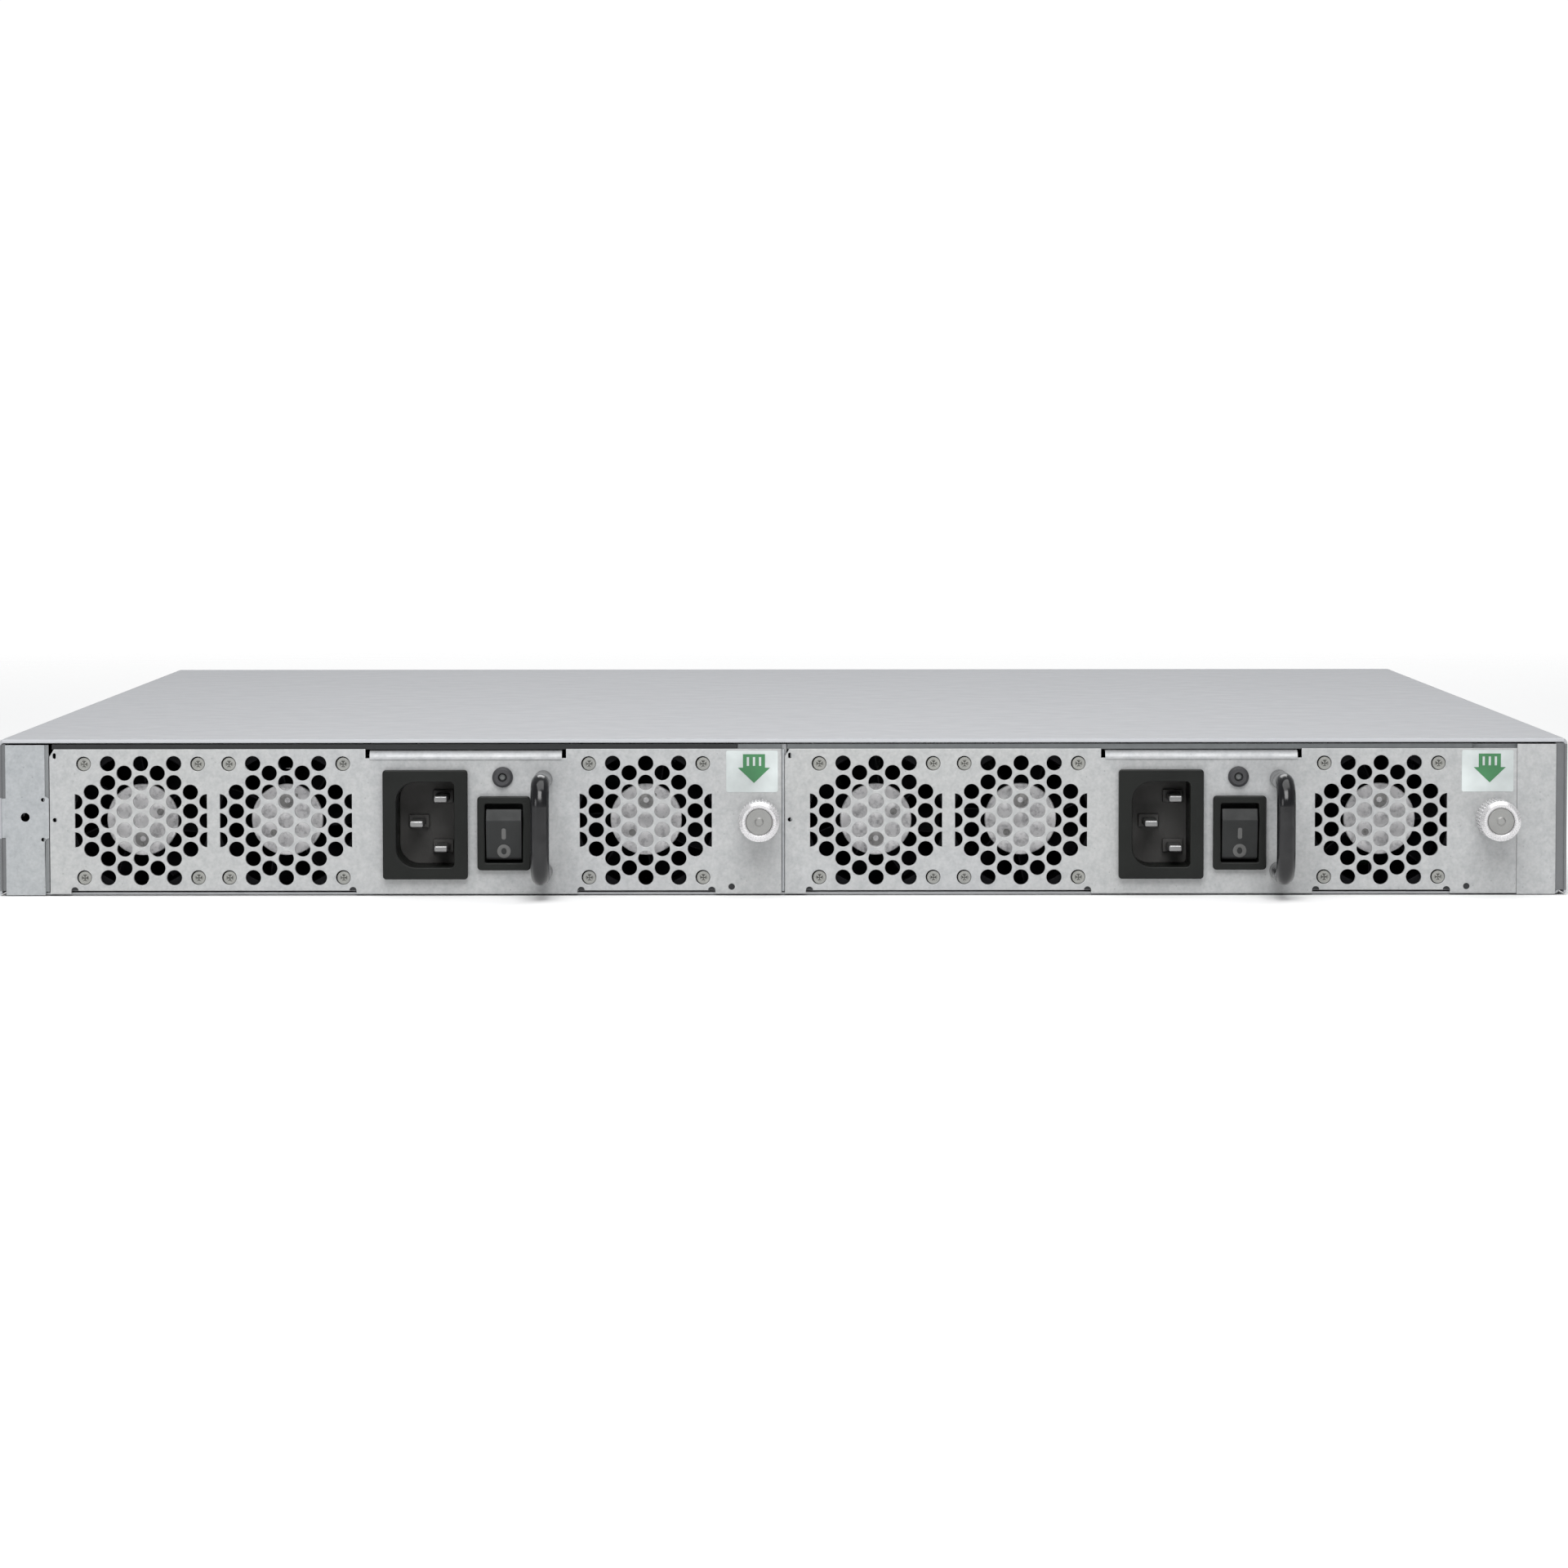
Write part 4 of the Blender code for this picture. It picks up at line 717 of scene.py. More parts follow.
def top_cover():
    """A sheet with rounded folds down both sides, strips of painted shade inside its front end and a front
    edge painted lighter as a highlight.
    """
    low, high = extents("top_cover")
    fold = 1.6
    outer = fold_line(low.x, high.x, low.z, high.z, fold)
    inner = fold_line(low.x + 0.7, high.x - 0.7, low.z, high.z - 1.2, fold - 0.9)

    def draw(mesh):
        extrusion(mesh, [*outer, *reversed(inner)], "Y", low.y, high.y, 0.28)

    # The side edges, and the hems just behind them, are drawn in dark grey: painted shade in the gap beside
    # the skirts.
    def shade_strips(mesh):
        for x in ((low.x + 0.6, low.x + 1.9), (high.x - 3.2, high.x - 0.6)):
            slab(mesh, x, (low.y + 0.4, low.y + 14), (1.2, 42.6), 0.2)
        for z in ((1.2, 16.0), (27.5, 42.3)):
            slab(mesh, (low.x + 0.03, low.x + 0.7), (low.y - 0.03, low.y + 1), z)
        slab(mesh, (high.x - 0.7, high.x - 0.03), (low.y - 0.03, low.y + 1), (1.2, 42.3))

    # The front edge wears the lighter lip paint: a painted highlight along the bend.
    front_edge = ((low.x + 0.8, high.x - 0.8), (low.y - 0.04, low.y + 0.6), (42.83, 43.93), 0.3, 3)
    piece("cover_shade_strips", shade_strips, "edge")
    piece("cover_highlight_lip", boxes(front_edge), "cover_highlight_lip")
    cover = piece("cover_sheet", draw, "cover", ["top_cover"])
    cut_rail_holes(cover)
    for side in (-1, 1):
        spots = [(y, 9) for y in (-150, -55, 55, 150)]
        side_screws(f"cover_screws_{'left' if side < 0 else 'right'}", spots, side)


def fold_line(x0, x1, z0, z1, radius):
    """Up the left side, over the top and down the right side, with rounded corners."""
    left = circle((x0 + radius, z1 - radius), radius, 6, math.pi, -math.pi / 2)
    right = circle((x1 - radius, z1 - radius), radius, 6, math.pi / 2, -math.pi / 2)
    return [(x0, z0), *left, *right, (x1, z0)]


def cut_rail_holes(target):
    """Round holes for rack rails through both sides, as a Boolean that is applied at once."""

    def draw(mesh):
        for y in RAIL_HOLES_Y:
            ring = circle((y, 22), 2.1, 24)
            extrusion(mesh, ring, "X", -HALF_WIDTH - 1, -HALF_WIDTH + 4)
            extrusion(mesh, ring, "X", HALF_WIDTH - 4, HALF_WIDTH + 1)

    cut_away(target, draw)


def cut_away(target, draw):
    """Takes what draw(mesh) draws out of a finished piece."""
    mesh = bmesh.new()
    draw(mesh)
    bmesh.ops.scale(mesh, vec=(MM, MM, MM), verts=mesh.verts)
    data = bpy.data.meshes.new("cutter")
    mesh.to_mesh(data)
    mesh.free()
    cutter = bpy.data.objects.new("cutter", data)
    bpy.context.scene.collection.objects.link(cutter)
    step = target.modifiers.new("Cut", "BOOLEAN")
    step.object = cutter
    step.solver = "EXACT"
    target.modifiers.move(len(target.modifiers) - 1, 0)
    bpy.context.view_layer.update()
    weighted = target.modifiers["Flat faces"]
    weighted.show_viewport = False
    bpy.context.view_layer.update()
    solid = bpy.data.meshes.new_from_object(target.evaluated_get(bpy.context.evaluated_depsgraph_get()))
    weighted.show_viewport = True
    target.modifiers.remove(step)
    old = target.data
    target.data = solid
    solid.name = target.name
    solid.set_sharp_from_angle(angle=math.radians(SHARP))
    bpy.data.meshes.remove(old)
    bpy.data.objects.remove(cutter)
    bpy.data.meshes.remove(data)


def chassis_pan():
    """The pan, folded up both sides, with a nut post for each board screw."""
    low, high = extents("chassis_base")
    corner = 1.4
    outer = pan_line(low.x, high.x, low.z, high.z, corner)
    inner = pan_line(low.x + SHEET, high.x - SHEET, low.z + SHEET, high.z, corner - SHEET)

    def draw(mesh):
        extrusion(mesh, [*outer, *reversed(inner)], "Y", FACE + 1.75, high.y, 0.15)

    pan = piece("chassis_pan", draw, "zinc", ["chassis_base"])
    cut_rail_holes(pan)

    def posts(mesh):
        for x, y in BOARD_SCREWS:
            extrusion(mesh, circle((x, y), 2.8, 6), "Z", 0.5, 6.5, 0.2)

    piece("board_posts", posts, "nickel")


def chassis_flanges():
    """The strips beside the modules, the tab behind the right one and the folds below them."""
    left, right, notch = -218.2, -206.0, 1.1
    bottom, top = 1.0, 42.3
    tab = (16.2, 27.3)
    slope = 0.6

    def draw(mesh):
        front = (FACE, FACE + SHEET)
        outline = [
            (left, bottom),
            (right - notch, bottom),
            (right - notch, tab[0] - slope),
            (right, tab[0]),
            (right, tab[1]),
            (right - notch, tab[1] + slope),
            (right - notch, top),
            (left, top),
        ]
        reliefs = [circle((right - 1.7, z), 0.55, 12) for z in (tab[0] - 0.5, tab[1] - 0.4)]
        face_sheet(mesh, outline, [circle((-212.7, 22), 1.25, 24), *reliefs], front, 0.15)
        slab(mesh, (left - 1.1, left + 0.4), (FACE + 0.1, FACE + SHEET), tab, 0.12)
        slab(mesh, (191.5, 216.9), (-219.2, -218.4), (bottom, top), 0.12)
        slab(mesh, (left, right - notch), (FACE, FACE + 1.2), (0.02, 1.2), 0.2)

    right_strip = (206.02, 216.9)
    right_flange = boxes(
        (right_strip, (FACE, FACE + SHEET), (bottom, top), 0.06),
        (right_strip, (FACE, FACE + 1.2), (0.02, 1.2), 0.2),
    )
    # A grey strip in the gap beside the module: painted shade of that gap.
    gap_shade = boxes(((right - 1.6, right - 0.02), (FACE + 0.35, FACE + SHEET), (bottom, top), 0.05))
    piece("chassis_flanges", draw, "flange")
    piece("chassis_right_flange", right_flange, "face")
    piece("flange_gap_shade", gap_shade, "gap_shade")


def pan_line(x0, x1, z0, z1, radius):
    """Down the left wall, along the floor and up the right wall, with rounded corners."""
    left = circle((x0 + radius, z0 + radius), radius, 6, math.pi, math.pi / 2)
    right = circle((x1 - radius, z0 + radius), radius, 6, -math.pi / 2, math.pi / 2)
    return [(x0, z1), *left, *right, (x1, z1)]


def bay_divider():
    low, high = extents("bay_divider")

    def draw(mesh):
        hole = circle((Module(1).left + SCREW[0], SCREW[1]), 1.8, 24)
        web = rectangle(*spans(low, high))
        face_sheet(mesh, web, [hole], (low.y, low.y + SHEET), 0.15)
        for x in (low.x, high.x - SHEET):
            slab(mesh, (x, x + SHEET), (low.y + 0.3, high.y), (low.z, high.z), 0.15)

    nose = boxes(((-0.32, 0.46), (FACE + 0.5, low.y + 0.3), (1, 41), 0.2))
    piece("divider_nose", nose, "flange")
    piece("divider_channel", draw, "zinc", ["bay_divider"])


# Port side


def obround(x, z):
    """A vertical slot with round ends, between (low, high) extents."""
    radius = (x[1] - x[0]) / 2
    centre = (x[0] + x[1]) / 2
    bottom = circle((centre, z[0] + radius), radius, 8, math.pi, math.pi)
    top = circle((centre, z[1] - radius), radius, 8, 0, math.pi)
    return [*bottom, *top]


def port_panel():
    low, high = extents("port_panel")
    holes = []
    for cage in CAGES:
        holes.append(rectangle(*spans(*extents(cage), 0.3)))
    for name in (*JACKS, "usb_port"):
        holes.append(rounded_rectangle(*spans(*extents(name), 0.3), 0.4))
    holes += [circle((x, 31), 1.7, 20) for x in LIGHTS_X]
    for start, end in ((-206, -74), (106, 142)):
        for i in range(int((end - start) / 6)):
            x = start + 6 * i + 3
            holes += [obround(about(x, 1.5), row) for row in ((6, 18), (23, 35))]

    def draw(mesh):
        face_sheet(mesh, rectangle(*spans(low, high)), holes, (low.y, high.y), 0.2)

    piece("port_panel_sheet", draw, "panel", ["port_panel"])

    def screws(mesh):
        for x in (-213, -67, 17.5, 150, 213):
            cross_screw(mesh, (x, 39 if abs(x) < 200 else 36), high.y - 0.05, 2.2, 1)

    piece("port_panel_screws", screws, "screw")

    depth = (high.y - 3.4, high.y - 1.7)
    mats = [((-207, -73), depth), ((105, 143), depth)]
    filters = boxes(*[(*mat, z, 0.1) for mat in mats for z in ((8.5, 41), (1.2, 6.7))])
    piece("vent_filters", filters, "foam")


def sfp_cage(name):
    """A folded cage with spring fingers round its mouth, and a socket at the back of each port."""
    low, high = extents(name)
    width, height = 13.65, 8.7
    centre = (low.x + high.x) / 2
    rows = [(low.z + 1.0, low.z + 1.0 + height), (high.z - 1.0 - height, high.z - 1.0)]
    ports = []
    for i in range(PORT_COLUMNS):
        x = centre + (i - (PORT_COLUMNS - 1) / 2) * PORT_PITCH
        ports += [(about(x, width / 2), row) for row in rows]

    def draw(mesh):
        box = rounded_rectangle(*spans(low, high), 0.3, 2)
        holes = [rounded_rectangle(x, z, 0.35, 2) for x, z in ports]
        face_sheet(mesh, box, holes, (high.y - 46, high.y), 0.12)
        slab(mesh, (low.x, high.x), (low.y, high.y - 46), (low.z, high.z), 0.2)
        for x, z in ports:
            for i in (-1, 1):
                middle = (x[0] + x[1]) / 2 + i * 3.1
                for edge, bend in ((z[0], 1), (z[1], -1)):
                    spring = [(high.y - 0.3, edge), (high.y - 2.5, edge + bend * 0.55), (high.y - 7, edge)]
                    spring += [(high.y - 7, edge + bend * 0.12), (high.y - 2.5, edge + bend * 0.75)]
                    extrusion(mesh, spring, "X", middle - 1.2, middle + 1.2)
        for i in range(2 * PORT_COLUMNS + 1):
            x = low.x + 0.6 + i * (high.x - low.x - 1.2) / (2 * PORT_COLUMNS)
            slab(mesh, about(x, 1.1), (high.y - 4.2, high.y - 0.3), (high.z - 0.1, high.z + 0.22), 0.1)

    piece(f"{name}_shell", draw, "nickel", [name])

    def sockets(mesh):
        for x, z in ports:
            middle = (x[0] + x[1]) / 2
            slab(mesh, about(middle, 5.6), (high.y - 46, high.y - 36), (z[0] + 1.2, z[1] - 1.6), 0.3)
            slab(mesh, about(middle, 4.6), (high.y - 36.1, high.y - 33), (z[0] + 2.2, z[0] + 3.6), 0.2)

    piece(f"{name}_sockets", sockets, "black")


def light_bars():
    """The dark web between the two rows of a cage holds two light pipes for each column."""

    def draw(mesh):
        for name in CAGES:
            low, high = extents(name)
            middle = (low.z + high.z) / 2
            for i in range(PORT_COLUMNS):
                x = (low.x + high.x) / 2 + (i - (PORT_COLUMNS - 1) / 2) * PORT_PITCH
                for offset, point in ((-3, 1), (3, -1)):
                    base, peak = middle - 0.75 * point, middle + 0.95 * point
                    tip = [(x + offset - 1.1, base), (x + offset + 1.1, base), (x + offset, peak)]
                    extrusion(mesh, tip, "Y", high.y - 1.0, high.y + 0.08)

    piece("port_lights", draw, "lens")


def modular_jack(name):
    """A shielded socket with a plastic insert, eight gold springs and two lights over its mouth."""
    low, high = extents(name)
    centre = (low.x + high.x) / 2
    half, notch = 5.95, 3.1
    bottom, shoulder, top = low.z + 1.7, low.z + 9.8, low.z + 11.9
    steps = ((half, bottom), (half, shoulder), (notch, shoulder), (notch, top))
    left_side = [(centre - x, z) for x, z in reversed(steps)]
    mouth = [left_side.pop(), *[(centre + x, z) for x, z in steps], *left_side]

    def shell(mesh):
        outline = rounded_rectangle(*spans(low, high), 0.4, 2)
        window = rectangle((low.x + 0.9, high.x - 0.9), (low.z + 0.9, high.z - 0.5))
        face_sheet(mesh, outline, [window], (high.y - 0.5, high.y), 0.1)
        slab(mesh, (low.x, low.x + 0.35), (low.y, high.y - 0.3), (low.z, high.z), 0.1)
        slab(mesh, (high.x - 0.35, high.x), (low.y, high.y - 0.3), (low.z, high.z), 0.1)
        slab(mesh, (low.x, high.x), (low.y, high.y - 0.3), (high.z - 0.35, high.z), 0.1)

    piece(f"{name}_shield", shell, "nickel", [name])

    def insert(mesh):
        outline = rectangle((low.x + 0.4, high.x - 0.4), (low.z + 0.1, high.z - 0.4))
        level = (high.z - 2.9, high.z - 0.9)
        lights = [rectangle(about(centre + s * 5.1, 1.3), level) for s in (-1, 1)]
        face_sheet(mesh, outline, [mouth, *lights], (high.y - 13, high.y - 0.25), 0.08)
        slab(mesh, (low.x + 0.4, high.x - 0.4), (low.y, high.y - 12.9), (low.z + 0.1, high.z - 0.4), 0.1)

    piece(f"{name}_insert", insert, "black")

    def lights(mesh):
        for s in (-1, 1):
            x = about(centre + s * 5.1, 1.2)
            slab(mesh, x, (high.y - 3, high.y - 0.35), (high.z - 2.8, high.z - 1.0), 0.1)

    piece(f"{name}_lights", lights, "lens")

    def springs(mesh):
        bend = ((3, 0.3), (7, 3.2), (12.9, 5.4))
        for i in range(8):
            x = centre + (i - 3.5) * 1.02
            route = [(x, high.y - depth, bottom + rise) for depth, rise in bend]
            tube(mesh, smooth_route(route, 4), 0.22, 6)

    piece(f"{name}_springs", springs, "gold")


def usb_port():
    low, high = extents("usb_port")
    shell = 0.5

    def draw(mesh):
        outline = rounded_rectangle(*spans(low, high), 0.7, 3)
        window = rounded_rectangle(*spans(low, high, -shell), 0.4, 3)
        face_sheet(mesh, outline, [window], (low.y + 1, high.y), 0.1)
        slab(mesh, (low.x, high.x), (low.y, low.y + 1), (low.z, high.z), 0.2)

    piece("usb_shell", draw, "nickel", ["usb_port"])
    middle = (low.x + high.x) / 2

    tongue = boxes((about(middle, 5.6), (low.y + 1, high.y - 1.5), (high.z - 3.0, high.z - 1.2), 0.2))
    piece("usb_tongue", tongue, "black")

    def strips(mesh):
        for i in range(4):
            x = middle + (i - 1.5) * 2.4
            slab(mesh, about(x, 0.55), (low.y + 3, high.y - 2.6), (high.z - 3.12, high.z - 2.9), 0.04)

    piece("usb_contacts", strips, "gold")


def status_lights():
    low, high = extents("status_light_pipe")

    def draw(mesh):
        slab(mesh, (low.x, high.x), (low.y, 219.7), (low.z, high.z), 0.4)
        for x in LIGHTS_X:
            turned(mesh, (x, 31), [(0, 219), (1.4, 219), (1.4, high.y - 0.5), (0.9, high.y), (0, high.y)], 20)

    piece("status_lenses", draw, "lens", ["status_light_pipe"])


def board_parts():
    """The chips, inductors, capacitors and connectors on the main board, at fixed random places."""
    low, high = extents("main_board")
    top = high.z
    spread = random.Random(7)
    fixed = ("switch_heatsink", *CAGES, *JACKS, "usb_port", "bay_connector_1", "bay_connector_2")
    kept = [extents(name) for name in fixed]
    placed = [(a.x - 2, b.x + 2, a.y - 2, b.y + 2) for a, b in kept]
    placed += [(x - 5, x + 5, y - 5, y + 5) for x, y in BOARD_SCREWS]

    def spot(half_x, half_y):
        for _ in range(200):
            x = spread.uniform(low.x + 4 + half_x, high.x - 4 - half_x)
            y = spread.uniform(low.y + 4 + half_y, high.y - 16 - half_y)
            here = (x - half_x, x + half_x, y - half_y, y + half_y)
            if all(here[1] < o[0] or here[0] > o[1] or here[3] < o[2] or here[2] > o[3] for o in placed):
                placed.append(here)
                return x, y
        return None

    def spots(count, half_x, half_y):
        """The places found for this many parts, one after another."""
        return filter(None, (spot(half_x, half_y) for _ in range(count)))

    def chips(mesh):
        for count, half_x, half_y, height in ((4, 9, 9, 1.8), (8, 5, 7, 1.3), (26, 2.5, 2.5, 1.1)):
            for x, y in spots(count, half_x, half_y):
                slab(mesh, about(x, half_x), about(y, half_y), (top + 0.1, top + height), 0.12)

    def coils(mesh):
        for x, y in spots(12, 5, 5):
            slab(mesh, about(x, 5), about(y, 5), (top, top + 5.2), 0.9)

    def cans(mesh):
        profile = [(0, 0), (3.9, 0), (4.0, 0.4), (4.0, 1.2), (3.6, 1.5), (4.0, 1.9), (4.0, 8.6)]
        for place in spots(24, 4, 4):
            upright_can(mesh, place, top, [*profile, (3.5, 9), (0, 9)])

    def dust(mesh):
        for x, y in spots(170, 1.0, 0.6):
            slab(mesh, about(x, 1.0), about(y, 0.6), (top, top + 0.6), 0.08, 1)

    piece("board_chips", chips, "chip")
    piece("board_coils", coils, "ferrite")
    piece("board_cans", cans, "aluminium")
    piece("board_small_parts", dust, "tape")


def upright_can(mesh, place, z, profile):
    """A profile of (radius, height) turned about the Z axis."""
    before = set(mesh.verts)
    turned(mesh, (0, 0), [(r, -h) for r, h in profile], 24)
    made = [v for v in mesh.verts if v not in before]
    turn = Matrix(((1, 0, 0, place[0]), (0, 0, 1, place[1]), (0, -1, 0, z), (0, 0, 0, 1)))
    bmesh.ops.transform(mesh, matrix=turn, verts=made)
    bmesh.ops.recalc_face_normals(mesh, faces=list({f for v in made for f in v.link_faces}))


def main_board():
    low, high = extents("main_board")

    def draw(mesh):
        holes = [circle(spot, 1.6, 16) for spot in BOARD_SCREWS]
        made = punched_sheet(mesh, rectangle((low.x, high.x), (low.y, high.y)), holes, high.z - low.z, 0.1)
        bmesh.ops.translate(mesh, verts=made, vec=(0, 0, low.z))

    piece("main_board_sheet", draw, "board", ["main_board"])

    def screws(mesh):
        for spot in BOARD_SCREWS:
            profile = [(0, 0), (2.7, 0), (2.9, 0.4), (2.4, 1.5), (1.2, 1.9), (1.0, 0.9), (0, 0.7)]
            upright_can(mesh, spot, high.z, profile)

    piece("board_screws", screws, "screw")
    board_parts()


# Modules. Every X is measured from the left edge of the module's faceplate.


class Module:
    """One of the two withdrawable power and fan modules."""

    def __init__(self, number):
        self.number = number
        self.left = self.box("faceplate")[0].x

    def box(self, node):
        """Lowest and highest corner of one of the module's CAD nodes, in millimetres."""
        return extents(f"psu_{self.number}_{node}")

    def add(self, name, draw, finish, slot, node=None, rides=None):
        """A piece of the module, which may stand for a CAD node and ride on a moving part of it."""
        prefix = f"psu_{self.number}"
        nodes = [f"{prefix}_{node}"] if node else []
        body = f"{prefix}_{rides}" if rides else prefix
        piece(f"{prefix}_{name}", draw, finish, nodes, body, self.left)


def grille_holes(centre_x):
    holes = []
    for column, count in {0: 7, 1: 6, 2: 7, 3: 4}.items():
        for side in (-1, 1) if column else (1,):
            x = centre_x + side * column * COLUMN_PITCH
            rows = [FAN_Z + (i - (count - 1) / 2) * HOLE_PITCH for i in range(count)]
            holes += [circle((x, z), HOLE_RADIUS, 24) for z in rows]
    for side in (-1, 1):
        x = centre_x + side * 4 * COLUMN_PITCH
        for i in (-1, 0, 1):
            holes.append(circle((x, FAN_Z + i * HOLE_PITCH), HOLE_RADIUS, 12, side * math.pi / 2, math.pi))
    return holes


def faceplate(unit):
    """The front sheet with its notches, and the lip folded back over the inlet and the switch."""
    low, high = unit.box("faceplate")
    width = high.x - low.x
    lip, lip_x = 2.6, (89.3, 144.4)
    cut = 0.6
    relief, reliefs_x, tooling_hole = 1.0, (6.9, 85.0, 149.1, 185.8), (191.4, low.z + 1.0)
    foot_z = 0.4
    levels = (foot_z, low.z, foot_z, low.z, foot_z)
    bottom = [(0.0, foot_z)]
    for x, before, after in zip(reliefs_x, levels, levels[1:]):
        arch = circle((x, low.z), relief, 10, math.pi, -math.pi)
        start = [(x - relief, foot_z)] if before == foot_z else []
        end = [(x + relief, foot_z)] if after == foot_z else []
        bottom += [*start, *arch, *end]
    bottom.append((width, foot_z))
    top = [(width, high.z), (lip_x[1] + cut, high.z), (lip_x[1] + cut, high.z - lip)]
    top += [(lip_x[0] - cut, high.z - lip), (lip_x[0] - cut, high.z), (1.3, high.z), (0.0, high.z - 2.1)]
    holes = [h for x in FANS_X for h in grille_holes(x)]
    holes += [circle(spot, FAN_SCREW_RADIUS, 24) for spot in FAN_SCREWS]
    holes.append(rectangle(inset(INLET_X, 1.5), inset(INLET_Z, 1.5)))
    holes.append(rectangle(inset(SWITCH_X, 1.1), inset(SWITCH_Z, 1.1)))
    holes += [circle(LED, 2.2), circle(SCREW, 3.9), circle(tooling_hole, 0.9, 16)]
    holes += [circle((1.4, 21.2), 0.6, 16), obround((0.95, 1.85), (38.4, 40.0))]

    def draw(mesh):
        face_sheet(mesh, [*bottom, *top], holes, (low.y, high.y), 0.16, 2)

    unit.add("face_sheet", draw, "face", "plate_paint", "faceplate")

    def shades(mesh):
        for x in (*reliefs_x, tooling_hole[0]):
            slab(mesh, about(x, 1.2), (low.y + 0.3, high.y - 0.02), (low.z + 0.02, low.z + 2.1))

    unit.add("relief_shades", shades, "dark_gap_shade_sheet", "plate_paint")

    # The lip wears its own darker plating: painted shade over the highlight on the bend.
    def folded(mesh):
        crown = high.z - 0.3
        centre = (low.y - 0.4 + lip, crown - lip)
        outer = circle(centre, lip, 8, math.pi, -math.pi / 2)
        inner = circle(centre, lip - 1.0, 8, math.pi / 2, math.pi / 2)
        back = -191.6
        profile = [*outer, (back, crown), (back, crown - 1.0), *inner]
        extrusion(mesh, profile, "X", lip_x[0] + cut, lip_x[1] - cut)

    unit.add("face_lip", folded, "lip", "plate_paint")

    # The heads wear the darker screw plating: painted shade on them.
    def screws(mesh):
        for x, z in FAN_SCREWS:
            cross_screw(mesh, (x + 0.14, z - 0.1), low.y + 0.25, FAN_SCREW_RADIUS - 0.22)

    unit.add("fan_screws", screws, "fan_screw", "plate_paint")

    # Strips in the gap between the cover and the faceplate, painted as that gap's shade: black over most of
    # the first module, grey elsewhere.
    def gap_shade_sheet(start, end):
        return lambda mesh: slab(mesh, (start, end), (low.y + 0.7, high.y), (high.z - 0.2, 42.5), 0.25)

    seam = 193.0
    if unit.number == 1:
        unit.add("dark_gap_shade_sheet", gap_shade_sheet(0.6, seam), "dark_gap_shade_sheet", "black_plastic")
        unit.add("gap_shade_sheet", gap_shade_sheet(seam + 0.1, width), "gap_shade_sheet", "plate_paint")
    else:
        unit.add("gap_shade_sheet", gap_shade_sheet(0.6, seam), "gap_shade_sheet", "plate_paint")


def module_label(unit):
    """A white film with a plain green arrow that points down."""
    low, _ = unit.box("faceplate")
    y = low.y

    def film(mesh):
        face_sheet(mesh, rounded_rectangle((189.9, 204.4), (28.9, 40.6), 0.5), [], (y - 0.10, y + 0.01), 0.03)

    def arrow(mesh):
        middle, tip, shoulder, top = 197.7, 31.5, 35.8, 39.6
        half, wing = 3.1, 4.5
        points = [(middle, tip), (middle + wing, shoulder), (middle + half, shoulder), (middle + half, top)]
        points += [(middle - half, top), (middle - half, shoulder), (middle - wing, shoulder)]
        slots = [rectangle(about(x, 0.32), (36.3, 38.8)) for x in (middle - 1.7, middle, middle + 1.7)]
        face_sheet(mesh, points, slots, (y - 0.15, y - 0.09), 0.01)

    unit.add("label", film, "label", "label")
    unit.add("label_arrow", arrow, "green", "label")


def tray(unit):
    """Floor and walls, with the floor open below each fan."""
    low, high = unit.box("tray")
    left = 1.5
    right = left + high.x - low.x
    fans_y = (low.y + 0.4, -191.2)
    openings = [rounded_rectangle(about(x, 20.0), fans_y, 1.5) for x in FANS_X]

    def draw(mesh):
        made = punched_sheet(mesh, rectangle((left, right), (low.y, high.y)), openings, SHEET, 0.15)
        bmesh.ops.translate(mesh, verts=made, vec=(0, 0, low.z))
        for x in (left, right - SHEET):
            slab(mesh, (x, x + SHEET), (low.y, high.y), (low.z + 0.1, high.z), 0.15)
        for x in (96, 182):
            for y in (-150, -30):
                extrusion(mesh, circle((x, y), 2.5, 6), "Z", low.z + 0.5, 4.9, 0.2)

    unit.add("tray_sheet", draw, "zinc", "zinc_steel", "tray")


def module_cover(unit):
    """A lid with rows of slots over the power supply, and the wall between that and the air duct."""
    low, high = unit.box("cover")
    wall, right = 88, 189.3
    places = [(x, y) for x in (100, 128, 156) for y in range(-170, -40, 6)]
    slots = [rounded_rectangle((x, x + 22), about(y, 1.2), 1.1) for x, y in places]

    def draw(mesh):
        made = punched_sheet(mesh, rectangle((wall, right), (low.y, high.y)), slots, SHEET, 0.15)
        bmesh.ops.translate(mesh, verts=made, vec=(0, 0, high.z - SHEET))
        slab(mesh, (wall, wall + SHEET), (low.y, high.y), (low.z, high.z - 0.1), 0.15)

    unit.add("cover_sheet", draw, "zinc", "zinc_steel", "cover")


